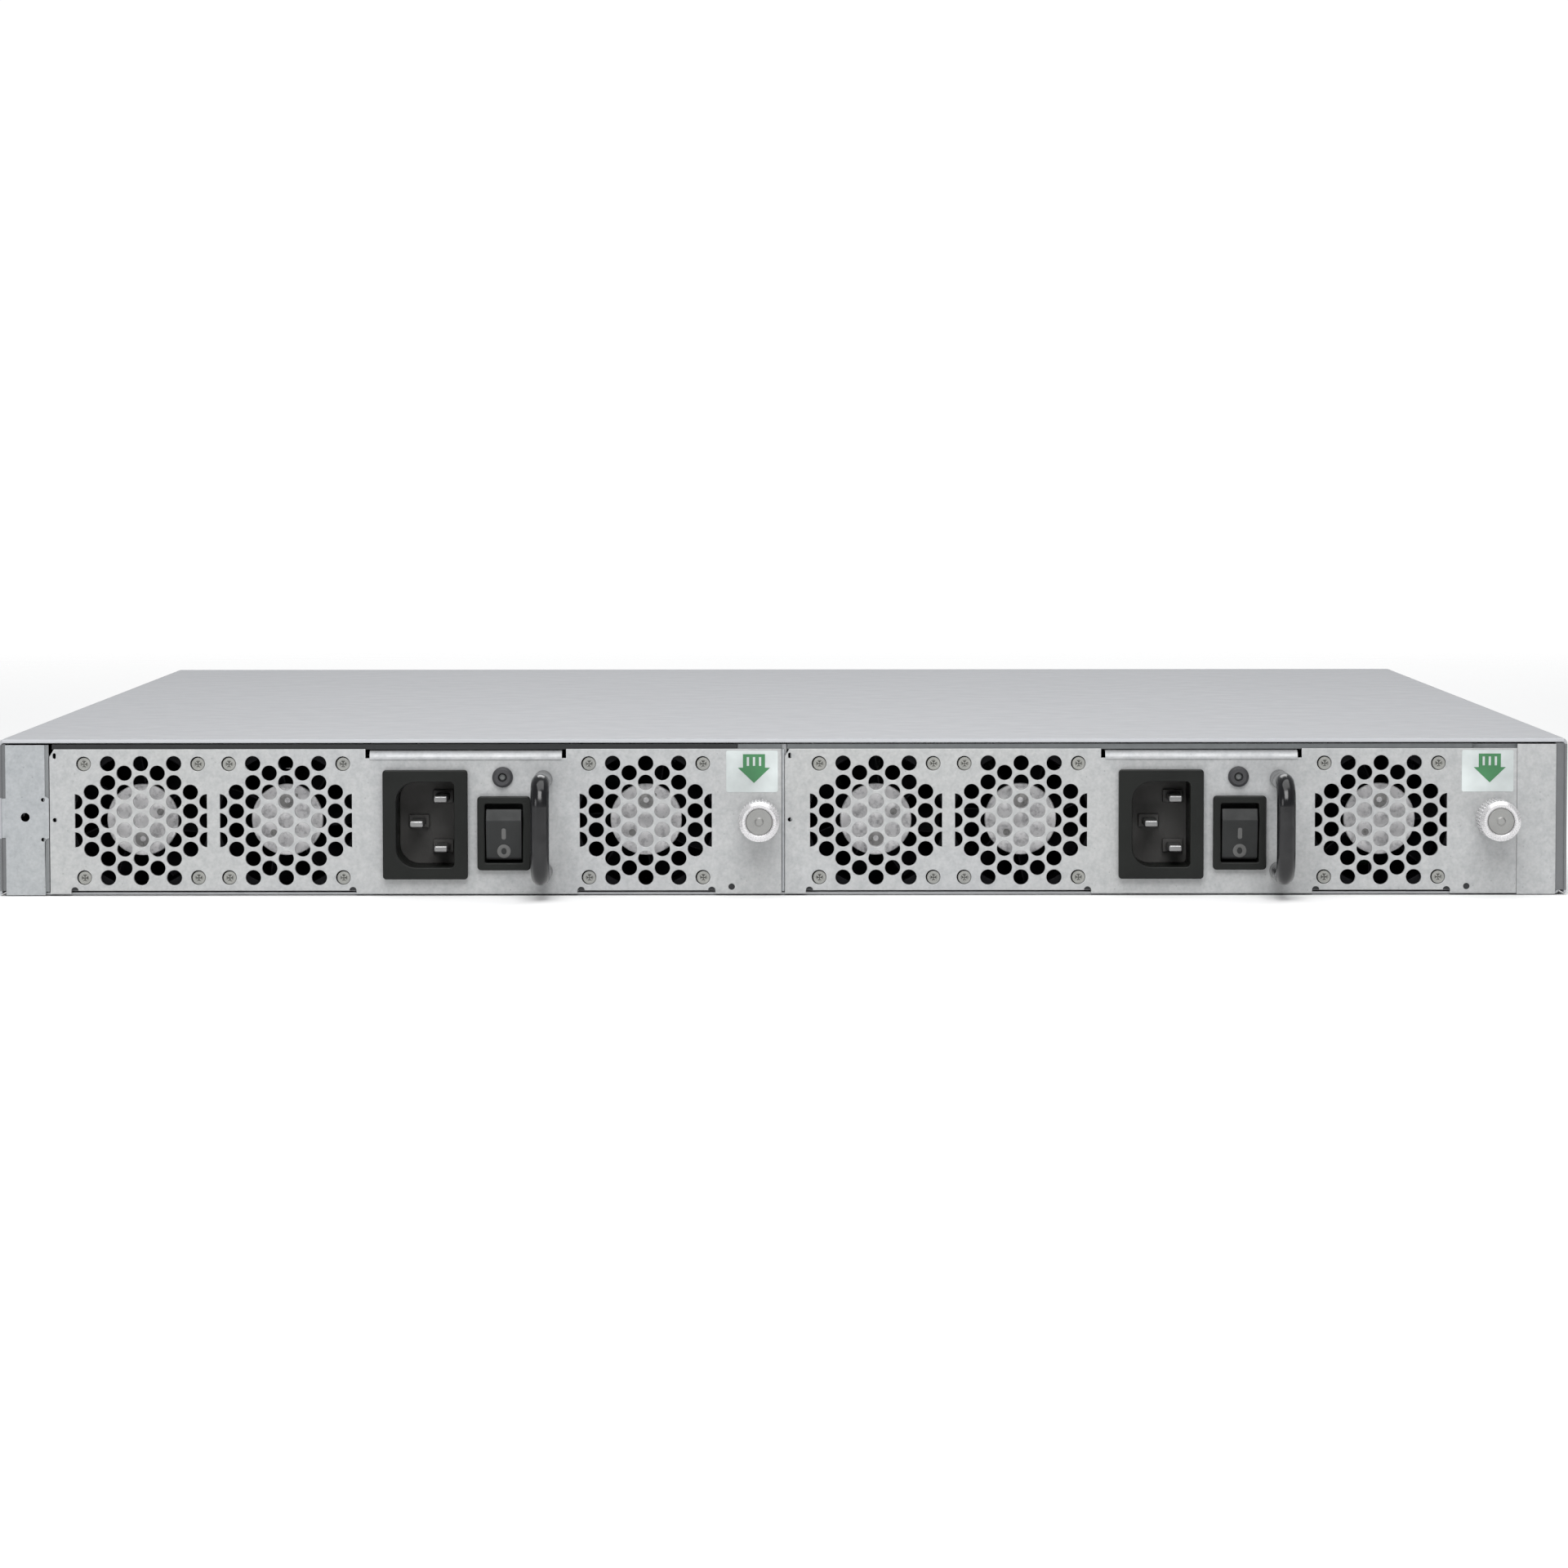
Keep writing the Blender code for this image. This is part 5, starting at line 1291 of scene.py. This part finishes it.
def power_board(unit):
    """The power supply's board with its transformer, capacitor, heatsinks and small parts."""
    low, high = unit.box("power_board")
    x0, x1 = low.x - unit.left, high.x - unit.left

    def board(mesh):
        made = punched_sheet(mesh, rectangle((x0, x1), (low.y, high.y)), [], high.z - low.z, 0.1)
        bmesh.ops.translate(mesh, verts=made, vec=(0, 0, low.z))

    unit.add("board_sheet", board, "board", "circuit_board", "power_board")

    top = 7.1
    tall = (top, 33)
    yokes = [((124, 156), y, tall, 0.5) for y in ((-110, -104.5), (-85.5, -80))]
    legs = [(x, (-110, -80), tall, 0.5) for x in ((124, 128.5), (151.5, 156))]
    unit.add("transformer_core", boxes(*yokes, *legs), "ferrite", "winding_tape", "transformer")

    flanges = [((128.8, 151.2), (-114, -76), z, 0.4) for z in ((9.6, 11.0), (29.2, 30.6))]
    winding = boxes(((129, 151), (-113.6, -76.4), (11.2, 29), 3.5, 4), *flanges)
    unit.add("transformer_winding", winding, "tape", "winding_tape")

    def barrel(mesh):
        profile = [(0, 0), (14.6, 0), (15, 0.6), (15, 2.2), (14.5, 2.9), (15, 3.6), (15, 31.2), (14.3, 31.9)]
        profile += [(13.2, 31.9), (12.8, 31.5), (0, 31.5)]
        upright_can(mesh, (113, -145), top, profile)

    unit.add("capacitor", barrel, "sleeve", "capacitor_sleeve", "bulk_capacitor")

    def fins(mesh):
        start, width, depth, count, fin = 140, 38, (-68, -34), 8, 1.6
        slab(mesh, (start, start + width), depth, (top, top + 3), 0.3)
        for i in range(count):
            x = start + i * (width - fin) / (count - 1)
            slab(mesh, (x, x + fin), depth, (9.8, 36), 0.3)

    unit.add("heatsink_fins", fins, "aluminium", "bare_aluminium", "heatsink")

    plug = boxes(
        ((100, 140), (-32, -13.6), (top, 17.1), 0.5),
        ((100.3, 139.7), (-18, -4.5), (12.7, 14.5), 0.2),
    )
    unit.add("plug", plug, "black", "black_plastic", "edge_connector")

    def fingers(mesh):
        for i in range(18):
            x = 102 + i * 2.1
            slab(mesh, (x, x + 1.3), (-13.2, -5), (12.62, 14.58), 0.03)

    unit.add("plug_contacts", fingers, "gold", "nickel_plate")

    def cans(mesh):
        large = [(x, y, 5, 20) for x, y in ((100, -100), (100, -88), (111, -94))]
        small = [(x, -62, 4, 12) for x in (97, 106)]
        for x, y, r, h in (*large, *small):
            profile = [(0, 0), (r - 0.3, 0), (r, 0.4), (r, 1.4), (r - 0.4, 1.8), (r, 2.2)]
            upright_can(mesh, (x, y), high.z, [*profile, (r, h - 0.5), (r - 0.4, h), (0, h)])

    unit.add("small_capacitors", cans, "sleeve", "capacitor_sleeve")

    def coils(mesh):
        for x, y in ((148, -165), (170, -165), (172, -140)):
            torus(mesh, (x, y, high.z + 9), 6.2, 2.8)
        slab(mesh, (135, 139), (-150, -126), (high.z, high.z + 24), 0.4)
        slab(mesh, (160, 178), (-124, -92), (high.z, high.z + 14), 1.0)

    unit.add("chokes", coils, "ferrite", "winding_tape")

    def wires(mesh):
        for i, (x, z) in enumerate(((101.3, 20), (109.7, 27), (109.7, 13))):
            start = (x, -203.5, z)
            middle = (x + 3, -195, z - 2)
            end = (118 + 4 * i, -181, high.z + 1)
            tube(mesh, smooth_route([start, middle, (x + 6, -187, 14), end]), 1.1, 8)

    unit.add("inlet_wires", wires, "black_wire", "black_plastic")


def torus(mesh, centre, radius, thickness):
    """A wound ring that stands on its edge, facing X."""
    ring = [
        (centre[0], centre[1] + radius * math.cos(a), centre[2] + radius * math.sin(a)) for a in angles(24)
    ]
    tube(mesh, [*ring, ring[0]], thickness, 10, False)


def power_inlet(unit):
    """A mains inlet turned a quarter turn, with three pins in its cavity."""
    low, high = unit.box("power_inlet")
    front = low.y
    centre = ((INLET_X[0] + INLET_X[1]) / 2, (INLET_Z[0] + INLET_Z[1]) / 2)
    half_x, half_z, round_corner, small_corner = 8.1, 12.0, 5.6, 1.2
    cavity = []
    corners = ((1, -1, small_corner), (1, 1, small_corner), (-1, 1, round_corner), (-1, -1, round_corner))
    for sx, sz, radius in corners:
        start = math.atan2(sz, sx) - math.pi / 4
        middle = (centre[0] + sx * (half_x - radius), centre[1] + sz * (half_z - radius))
        cavity += circle(middle, radius, 8, start, math.pi / 2)

    def shell(mesh):
        face_sheet(mesh, rounded_rectangle(INLET_X, INLET_Z, 0.9, 5), [cavity], (front, front + 2.2), 0.35, 3)
        body = rounded_rectangle(inset(INLET_X, 1.6), inset(INLET_Z, 1.6), 1.0)
        face_sheet(mesh, body, [cavity], (front + 1.9, front + 16.6), 0.1)
        face_sheet(mesh, body, [], (front + 16.5, high.y), 0.3)

    # The cavity floor and the pin seats wear the lightened moulding: painted light in the cavity.
    def floor(mesh):
        face_sheet(mesh, cavity, [], (front + 16.1, front + 16.6), 0.1)
        for x, z in PINS:
            foot = (centre[0] + x, centre[1] + z)
            slab(mesh, about(foot[0], 2.9), (front + 14.6, front + 16.8), about(foot[1], 1.9), 0.4)

    unit.add("inlet_shell", shell, "black", "black_plastic", "power_inlet")
    unit.add("inlet_floor", floor, "cavity_lightened_moulding", "black_plastic")

    # The pins wear the darkened nickel: painted shade in the cavity.
    def pins(mesh):
        for x, z in PINS:
            foot = (centre[0] + x, centre[1] + z)
            slab(mesh, about(foot[0], 2), (front + 2.5, front + 15.5), about(foot[1], 1), 0.62, 3)
            slab(mesh, about(foot[0], 2.4), (high.y - 0.5, high.y + 3.0), about(foot[1], 0.4), 0.15)

    unit.add("inlet_pins", pins, "pin", "nickel_plate")


def rocker_switch(unit):
    """A framed case with a rocker tilted in its mouth, and the plain marks on it."""
    low, high = unit.box("switch_body")
    front = low.y
    centre = ((SWITCH_X[0] + SWITCH_X[1]) / 2, (SWITCH_Z[0] + SWITCH_Z[1]) / 2)
    mouth = (about(centre[0], 5.3), about(centre[1], 8.3))

    def body(mesh):
        hole = rounded_rectangle(*mouth, 0.5, 3)
        face_sheet(mesh, rounded_rectangle(SWITCH_X, SWITCH_Z, 1.0, 5), [hole], (front, front + 1.8), 0.4, 3)
        case = rounded_rectangle(inset(SWITCH_X, 1.2), inset(SWITCH_Z, 1.2), 0.5)
        face_sheet(mesh, case, [hole], (front + 1.6, front + 9), 0.1)
        face_sheet(mesh, case, [], (front + 8.9, high.y), 0.3)
        for z in (-5, 0, 5):
            slab(mesh, about(centre[0], 2.4), (high.y - 0.2, high.y + 4), about(centre[1] + z, 0.4), 0.1)

    unit.add("switch_case", body, "black", "black_plastic", "switch_body")

    pivot = (front + 3.0, centre[1])
    tilt = math.radians(9)
    reach = 7.2

    def place(y, z):
        """A point of the level rocker, after its tilt."""
        turned_y = y * math.cos(tilt) - z * math.sin(tilt)
        return pivot[0] + turned_y, pivot[1] + y * math.sin(tilt) + z * math.cos(tilt)

    crest, foot = (-3.35, 4.1), (-3.1, -6.5)
    face = [(-1.5, reach), crest, foot, (-2.6, -reach)]
    heel = [(4.4 * math.sin(a), -5.8 * math.cos(a)) for a in (0.4, 0.8, 1.2, 1.57, 1.94, 2.34, 2.74)]

    def rocker(mesh):
        outline = [place(y, z) for y, z in [*face, *heel]]
        extrusion(mesh, outline, "X", centre[0] - 5.0, centre[0] + 5.0, 0.28)

    unit.add("rocker_cap", rocker, "rocker", "black_plastic", "rocker", rides="rocker")

    def on_face(z):
        """The (y, z) of a point of the tilted front at a height above the pivot."""
        share = (z - foot[1]) / (crest[1] - foot[1])
        return place(foot[0] + share * (crest[0] - foot[0]), z)

    def marks(mesh):
        before = set(mesh.verts)
        face_sheet(mesh, rounded_rectangle((-0.6, 0.6), (-1.6, 1.6), 0.5), [], (-0.05, 0.06), 0.02)
        lay_on(mesh, before, centre[0], [on_face(0.4), on_face(4)])
        before = set(mesh.verts)
        ring = [(1.9 * math.cos(a), 1.95 * math.sin(a)) for a in angles(32)]
        inside = [(0.75 * math.cos(a), 0.95 * math.sin(a)) for a in angles(32)]
        face_sheet(mesh, ring, [inside], (-0.05, 0.06), 0.02)
        lay_on(mesh, before, centre[0], [on_face(-4.6), on_face(4)])

    unit.add("rocker_marks", marks, "ink", "label", rides="rocker")


def lay_on(mesh, before, x, line):
    """Moves new flat marks on to a slope that starts at the first (y, z) point and rises to the second."""
    made = [v for v in mesh.verts if v not in before]
    (y0, z0), (y1, z1) = line
    along = Vector((0, y1 - y0, z1 - z0)).normalized()
    out = Vector((1, 0, 0)).cross(along)
    turn = Matrix.Identity(4)
    for i in range(3):
        turn[i][0], turn[i][1], turn[i][2] = (1, 0, 0)[i], -out[i], along[i]
    turn[0][3], turn[1][3], turn[2][3] = x, y0, z0
    bmesh.ops.transform(mesh, matrix=turn, verts=made)
    bmesh.ops.recalc_face_normals(mesh, faces=list({f for v in made for f in v.link_faces}))


def status_led(unit):
    """A round holder that sits on the faceplate, with a small lens in it."""
    low, high = unit.box("status_led")
    front = low.y
    seat = -221.52

    def holder(mesh):
        profile = [(1.05, front + 0.6), (1.3, front), (2.2, front), (2.9, front + 0.9), (2.9, seat)]
        profile += [(2.05, seat), (2.05, high.y), (1.05, high.y)]
        turned(mesh, LED, profile, 32)

    def lens(mesh):
        profile = [(0, front + 0.3), (0.6, front + 0.35), (0.9, front + 0.6), (1.0, front + 0.9)]
        profile += [(1.0, high.y), (0, high.y)]
        turned(mesh, LED, profile, 24)

    unit.add("led_holder", holder, "ferrite", "fan_plastic", "status_led")
    unit.add("led_lens", lens, "dim_lens", "light_pipe")


def handle(unit):
    """A round bar bent to a bow, held by a nut at each end."""
    low, high = unit.box("handle")
    x = (low.x + high.x) / 2 - unit.left
    radius = 2.6
    bottom, top = low.z + radius, high.z - radius
    bar_y = low.y + radius
    bend = 6.2

    def draw(mesh):
        route = [(x, FACE - 0.2, top)]
        for i in range(11):
            a = math.pi / 2 * i / 10
            route.append((x, bar_y + bend - bend * math.sin(a), top - bend + bend * math.cos(a)))
        for i in range(11):
            a = math.pi / 2 * i / 10
            route.append((x, bar_y + bend - bend * math.cos(a), bottom + bend - bend * math.sin(a)))
        route.append((x, FACE - 0.2, bottom))
        tube(mesh, route, radius, 28)

    unit.add("handle_bar", draw, "gloss", "black_coat", "handle")

    def nuts(mesh):
        start, end = -219.9, -217.5
        for z in (bottom, top):
            extrusion(mesh, circle((x, z), 3.2, 6), "Y", start, end, 0.2)

    unit.add("handle_nuts", nuts, "screw", "zinc_steel")


def thumbscrew(unit):
    """A knurled knob that turns on its screw, over a ferrule pressed into the faceplate."""
    low, high = unit.box("thumbscrew")
    front = low.y
    back = FACE - 1.6
    radius = 5.7

    def knob(mesh):
        profile = [(0, front + 0.9), (3.75, front + 0.9), (3.8, front + 0.3), (4.1, front), (4.7, front)]
        profile += [
            (radius - 0.1, front + 1.0), (radius - 0.1, front + 2.6), (5.1, front + 3.0), (5.1, front + 3.6),
        ]
        profile += [
            (5.3, front + 3.9), (5.3, back - 0.5), (5.0, back), (4.4, back), (4.3, back - 0.5),
            (4.3, front + 7),
        ]
        profile += [(1.5, front + 7), (1.5, high.y - 0.8), (0.9, high.y), (0, high.y)]
        turned(mesh, SCREW, profile, 48)
        for angle in angles(36):
            x, z = SCREW[0] + 5.36 * math.cos(angle), SCREW[1] + 5.36 * math.sin(angle)
            extrusion(mesh, circle((x, z), 0.33, 6, angle), "Y", front + 4.0, back - 0.7, 0.08)

    # The face wears the darker satin copy: painted shade on the recess, against the lit ring.
    def knob_face(mesh):
        profile = [
            (0, front + 0.1), (0.9, front + 0.12), (1.3, front + 0.45), (3.5, front + 0.45),
            (3.7, front + 0.6),
        ]
        turned(mesh, SCREW, [*profile, (3.7, front + 1.0), (0, front + 1.0)], 48)

    unit.add("knob_face", knob_face, "knob_face", "nickel_plate", rides="thumbscrew")
    unit.add("knob", knob, "knob", "nickel_plate", "thumbscrew", rides="thumbscrew")

    def ferrule(mesh):
        end = FACE - 6.3
        profile = [
            (1.8, end), (3.3, end), (3.6, end + 0.4), (3.6, FACE - 1.0), (4.0, FACE - 0.9), (4.0, FACE - 0.3),
        ]
        profile += [(3.6, FACE - 0.3), (3.6, FACE + 1.2), (1.8, FACE + 1.2)]
        turned(mesh, SCREW, profile, 40)

    unit.add("ferrule", ferrule, "nickel", "nickel_plate", "thumbscrew_ferrule")

    def washer(mesh):
        lowest, highest = unit.box("thumbscrew_washer")
        y0, y1 = lowest.y, highest.y
        turned(
            mesh, SCREW, [(1.8, y0), (3.5, y0), (3.6, y0 + 0.1), (3.6, y1 - 0.1), (3.5, y1), (1.8, y1)], 32,
        )

    unit.add("washer", washer, "black", "black_plastic", "thumbscrew_washer", rides="thumbscrew_washer")


def fan_frame(unit, number, x):
    name = f"fan_{number}"
    low, high = unit.box(f"{name}_frame")
    half, bore = 19.8, 18.8
    reach = FAN_SCREW_REACH
    screw_holes = [circle((x + sx * reach, FAN_Z + sz * reach), 1.7, 12) for sx, sz in QUARTERS]
    outline = rounded_rectangle(about(x, half), about(FAN_Z, half), 3, 4)
    mouth = circle((x, FAN_Z), bore, 48)

    def draw(mesh):
        for y in ((low.y, low.y + 3.8), (high.y - 3.8, high.y)):
            face_sheet(mesh, outline, [mouth, *screw_holes], y, 0.3, 2)
        turned(
            mesh, (x, FAN_Z), [(bore, low.y + 3), (19.7, low.y + 3), (19.7, high.y - 3), (bore, high.y - 3)],
            48,
        )
        for spot in [(x + sx * 16.3, FAN_Z + sz * 16.3) for sx, sz in QUARTERS]:
            turned(mesh, spot, [(1.7, low.y + 3), (3.2, low.y + 3), (3.2, high.y - 3), (1.7, high.y - 3)], 16)
        rim = high.y - 3.8
        turned(
            mesh, (x, FAN_Z),
            [(0, rim), (8.6, rim), (9, rim + 0.4), (9, high.y - 0.4), (8.6, high.y), (0, high.y)], 40,
        )
        for angle in (0.5, 2.07, 3.64, 5.21):
            direction = Vector((math.cos(angle), math.sin(angle)))
            across = Vector((-direction.y, direction.x))
            corners = []
            for reach in (8.0, 19.2):
                for side in (-1.2, 1.2):
                    spot = Vector((x, FAN_Z)) + reach * direction + side * across
                    corners += [mesh.verts.new((spot.x, y, spot.y)) for y in (rim, high.y - 0.3)]
            hull_of(mesh, corners)
        turned(mesh, (x, FAN_Z), [(0, rim - 9), (7, rim - 9), (7, rim + 0.5), (0, rim + 0.5)], 24)

    unit.add(f"{name}_housing", draw, "fan", "fan_plastic", f"{name}_frame")

    def wires(mesh):
        turn = 0.5
        for i in (-1, 0, 1):
            along = [(r * math.cos(turn), r * math.sin(turn)) for r in (8, 14, 19)]
            out = [(x + u + i * 0.9, high.y + 0.3, FAN_Z + v + i) for u, v in along]
            end = (x + 14 + i, high.y + 10, 6 + i)
            tube(mesh, smooth_route([*out, (x + 19.5, high.y + 5, 24 + i), end]), 0.5, 6)

    unit.add(f"{name}_wires", wires, "red_wire" if number == 1 else "black_wire", "black_plastic")


def fan_rotor(unit, number, x):
    """A hub with a silver disc on it, coloured extra light as painted light against the shade behind the
    faceplate, and seven curved, twisted blades.
    """
    rotor = f"fan_{number}_rotor"
    low, high = unit.box(rotor)
    start = random.Random(10 * unit.number + number).uniform(0, 2 * math.pi)

    def draw(mesh):
        profile = [
            (0, low.y), (8.9, low.y), (9.5, low.y + 0.25), (9.7, low.y + 0.8), (9.7, high.y), (8.2, high.y),
        ]
        profile += [(8.2, low.y + 1.5), (1.5, low.y + 1.5), (1.5, high.y), (0, high.y)]
        turned(mesh, (x, FAN_Z), profile, 48)
        for i in range(7):
            curved_blade(mesh, (x, FAN_Z), start + 2 * math.pi * i / 7, (low.y + 1.0, high.y - 1.4))

    unit.add(f"{rotor}_blades", draw, "fan", "fan_plastic", rotor, rides=rotor)

    def disc(mesh):
        y = low.y
        profile = [
            (0, y - 0.25), (0.9, y - 0.25), (1.2, y - 0.1), (1.9, y - 0.1), (2.1, y - 0.22), (2.5, y - 0.22),
        ]
        profile += [
            (2.7, y - 0.08), (9.2, y - 0.08), (9.5, y - 0.22), (9.9, y - 0.2), (10.1, y + 0.3), (0, y + 0.3),
        ]
        turned(mesh, (x, FAN_Z), profile, 48)

    def marks(mesh):
        y = (low.y - 0.12, low.y - 0.05)
        large, small = (-1.57, 0.41) if number == 1 else (1.57, 3.91)
        spot = (x + 5.4 * math.cos(large), FAN_Z + 5.4 * math.sin(large))
        face_sheet(mesh, circle(spot, 2.2, 24), [circle(spot, 0.8, 12)], y, 0.02)
        for turn, reach, radius in ((small, 5.4, 1.0), (small + 1.9, 2.9, 0.5), (small + 3.6, 7.2, 0.6)):
            spot = (x + reach * math.cos(turn), FAN_Z + reach * math.sin(turn))
            face_sheet(mesh, circle(spot, radius, 16), [], y, 0.02)

    unit.add(f"{rotor}_disc", disc, "hub", "label", rides=rotor)
    unit.add(f"{rotor}_marks", marks, "hub_mark", "label", rides=rotor)


def curved_blade(mesh, centre, angle, y):
    """A thin vane with camber that twists from its root to its tip."""
    steps, reaches = 8, 5
    sides = []
    for side in (-1, 1):
        grid = []
        for j in range(reaches):
            share = j / (reaches - 1)
            radius = 9.0 + share * 9.0
            sweep = 0.46 - 0.12 * share
            row = []
            for i in range(steps):
                t = i / (steps - 1)
                camber = 0.16 * math.sin(math.pi * t)
                thick = side * 0.55 * math.sin(math.pi * min(0.9, 0.12 + t * 0.8)) / radius
                turn = angle + (2 * t - 1) * sweep + camber + thick
                x, z = centre[0] + radius * math.cos(turn), centre[1] + radius * math.sin(turn)
                row.append(mesh.verts.new((x, y[0] + t * (y[1] - y[0]), z)))
            grid.append(row)
        sides.append(grid)
    faces = []
    for grid in sides:
        for j in range(reaches - 1):
            for i in range(steps - 1):
                faces.append(mesh.faces.new((grid[j][i], grid[j][i + 1], grid[j + 1][i + 1], grid[j + 1][i])))
    near, far = sides
    rim = [(0, i) for i in range(steps)] + [(j, steps - 1) for j in range(1, reaches)]
    rim += [(reaches - 1, i) for i in reversed(range(steps - 1))]
    rim += [(j, 0) for j in reversed(range(1, reaches - 1))]
    for (a, b), (c, d) in zip(rim, rim[1:] + rim[:1]):
        faces.append(mesh.faces.new((near[a][b], near[c][d], far[c][d], far[a][b])))
    bmesh.ops.recalc_face_normals(mesh, faces=faces)


def module(number):
    unit = Module(number)
    faceplate(unit)
    module_label(unit)
    tray(unit)
    module_cover(unit)
    power_board(unit)
    power_inlet(unit)
    rocker_switch(unit)
    status_led(unit)
    handle(unit)
    thumbscrew(unit)
    for fan, x in enumerate(FANS_X, 1):
        fan_frame(unit, fan, x)
        fan_rotor(unit, fan, x)


FINISHES = make_finishes()
set_camera()
set_light()
add_floor()
top_cover()
chassis_pan()
chassis_flanges()
bay_divider()
port_panel()
main_board()
for cage_name in CAGES:
    sfp_cage(cage_name)
light_bars()
for jack_name in JACKS:
    modular_jack(jack_name)
usb_port()
status_lights()
finish_node("switch_chip", "chip", 0.2)
finish_node("switch_heatsink", "aluminium", 0.3)
for module_number in MODULES:
    finish_node(f"bay_connector_{module_number}", "black", 0.3)
    module(module_number)
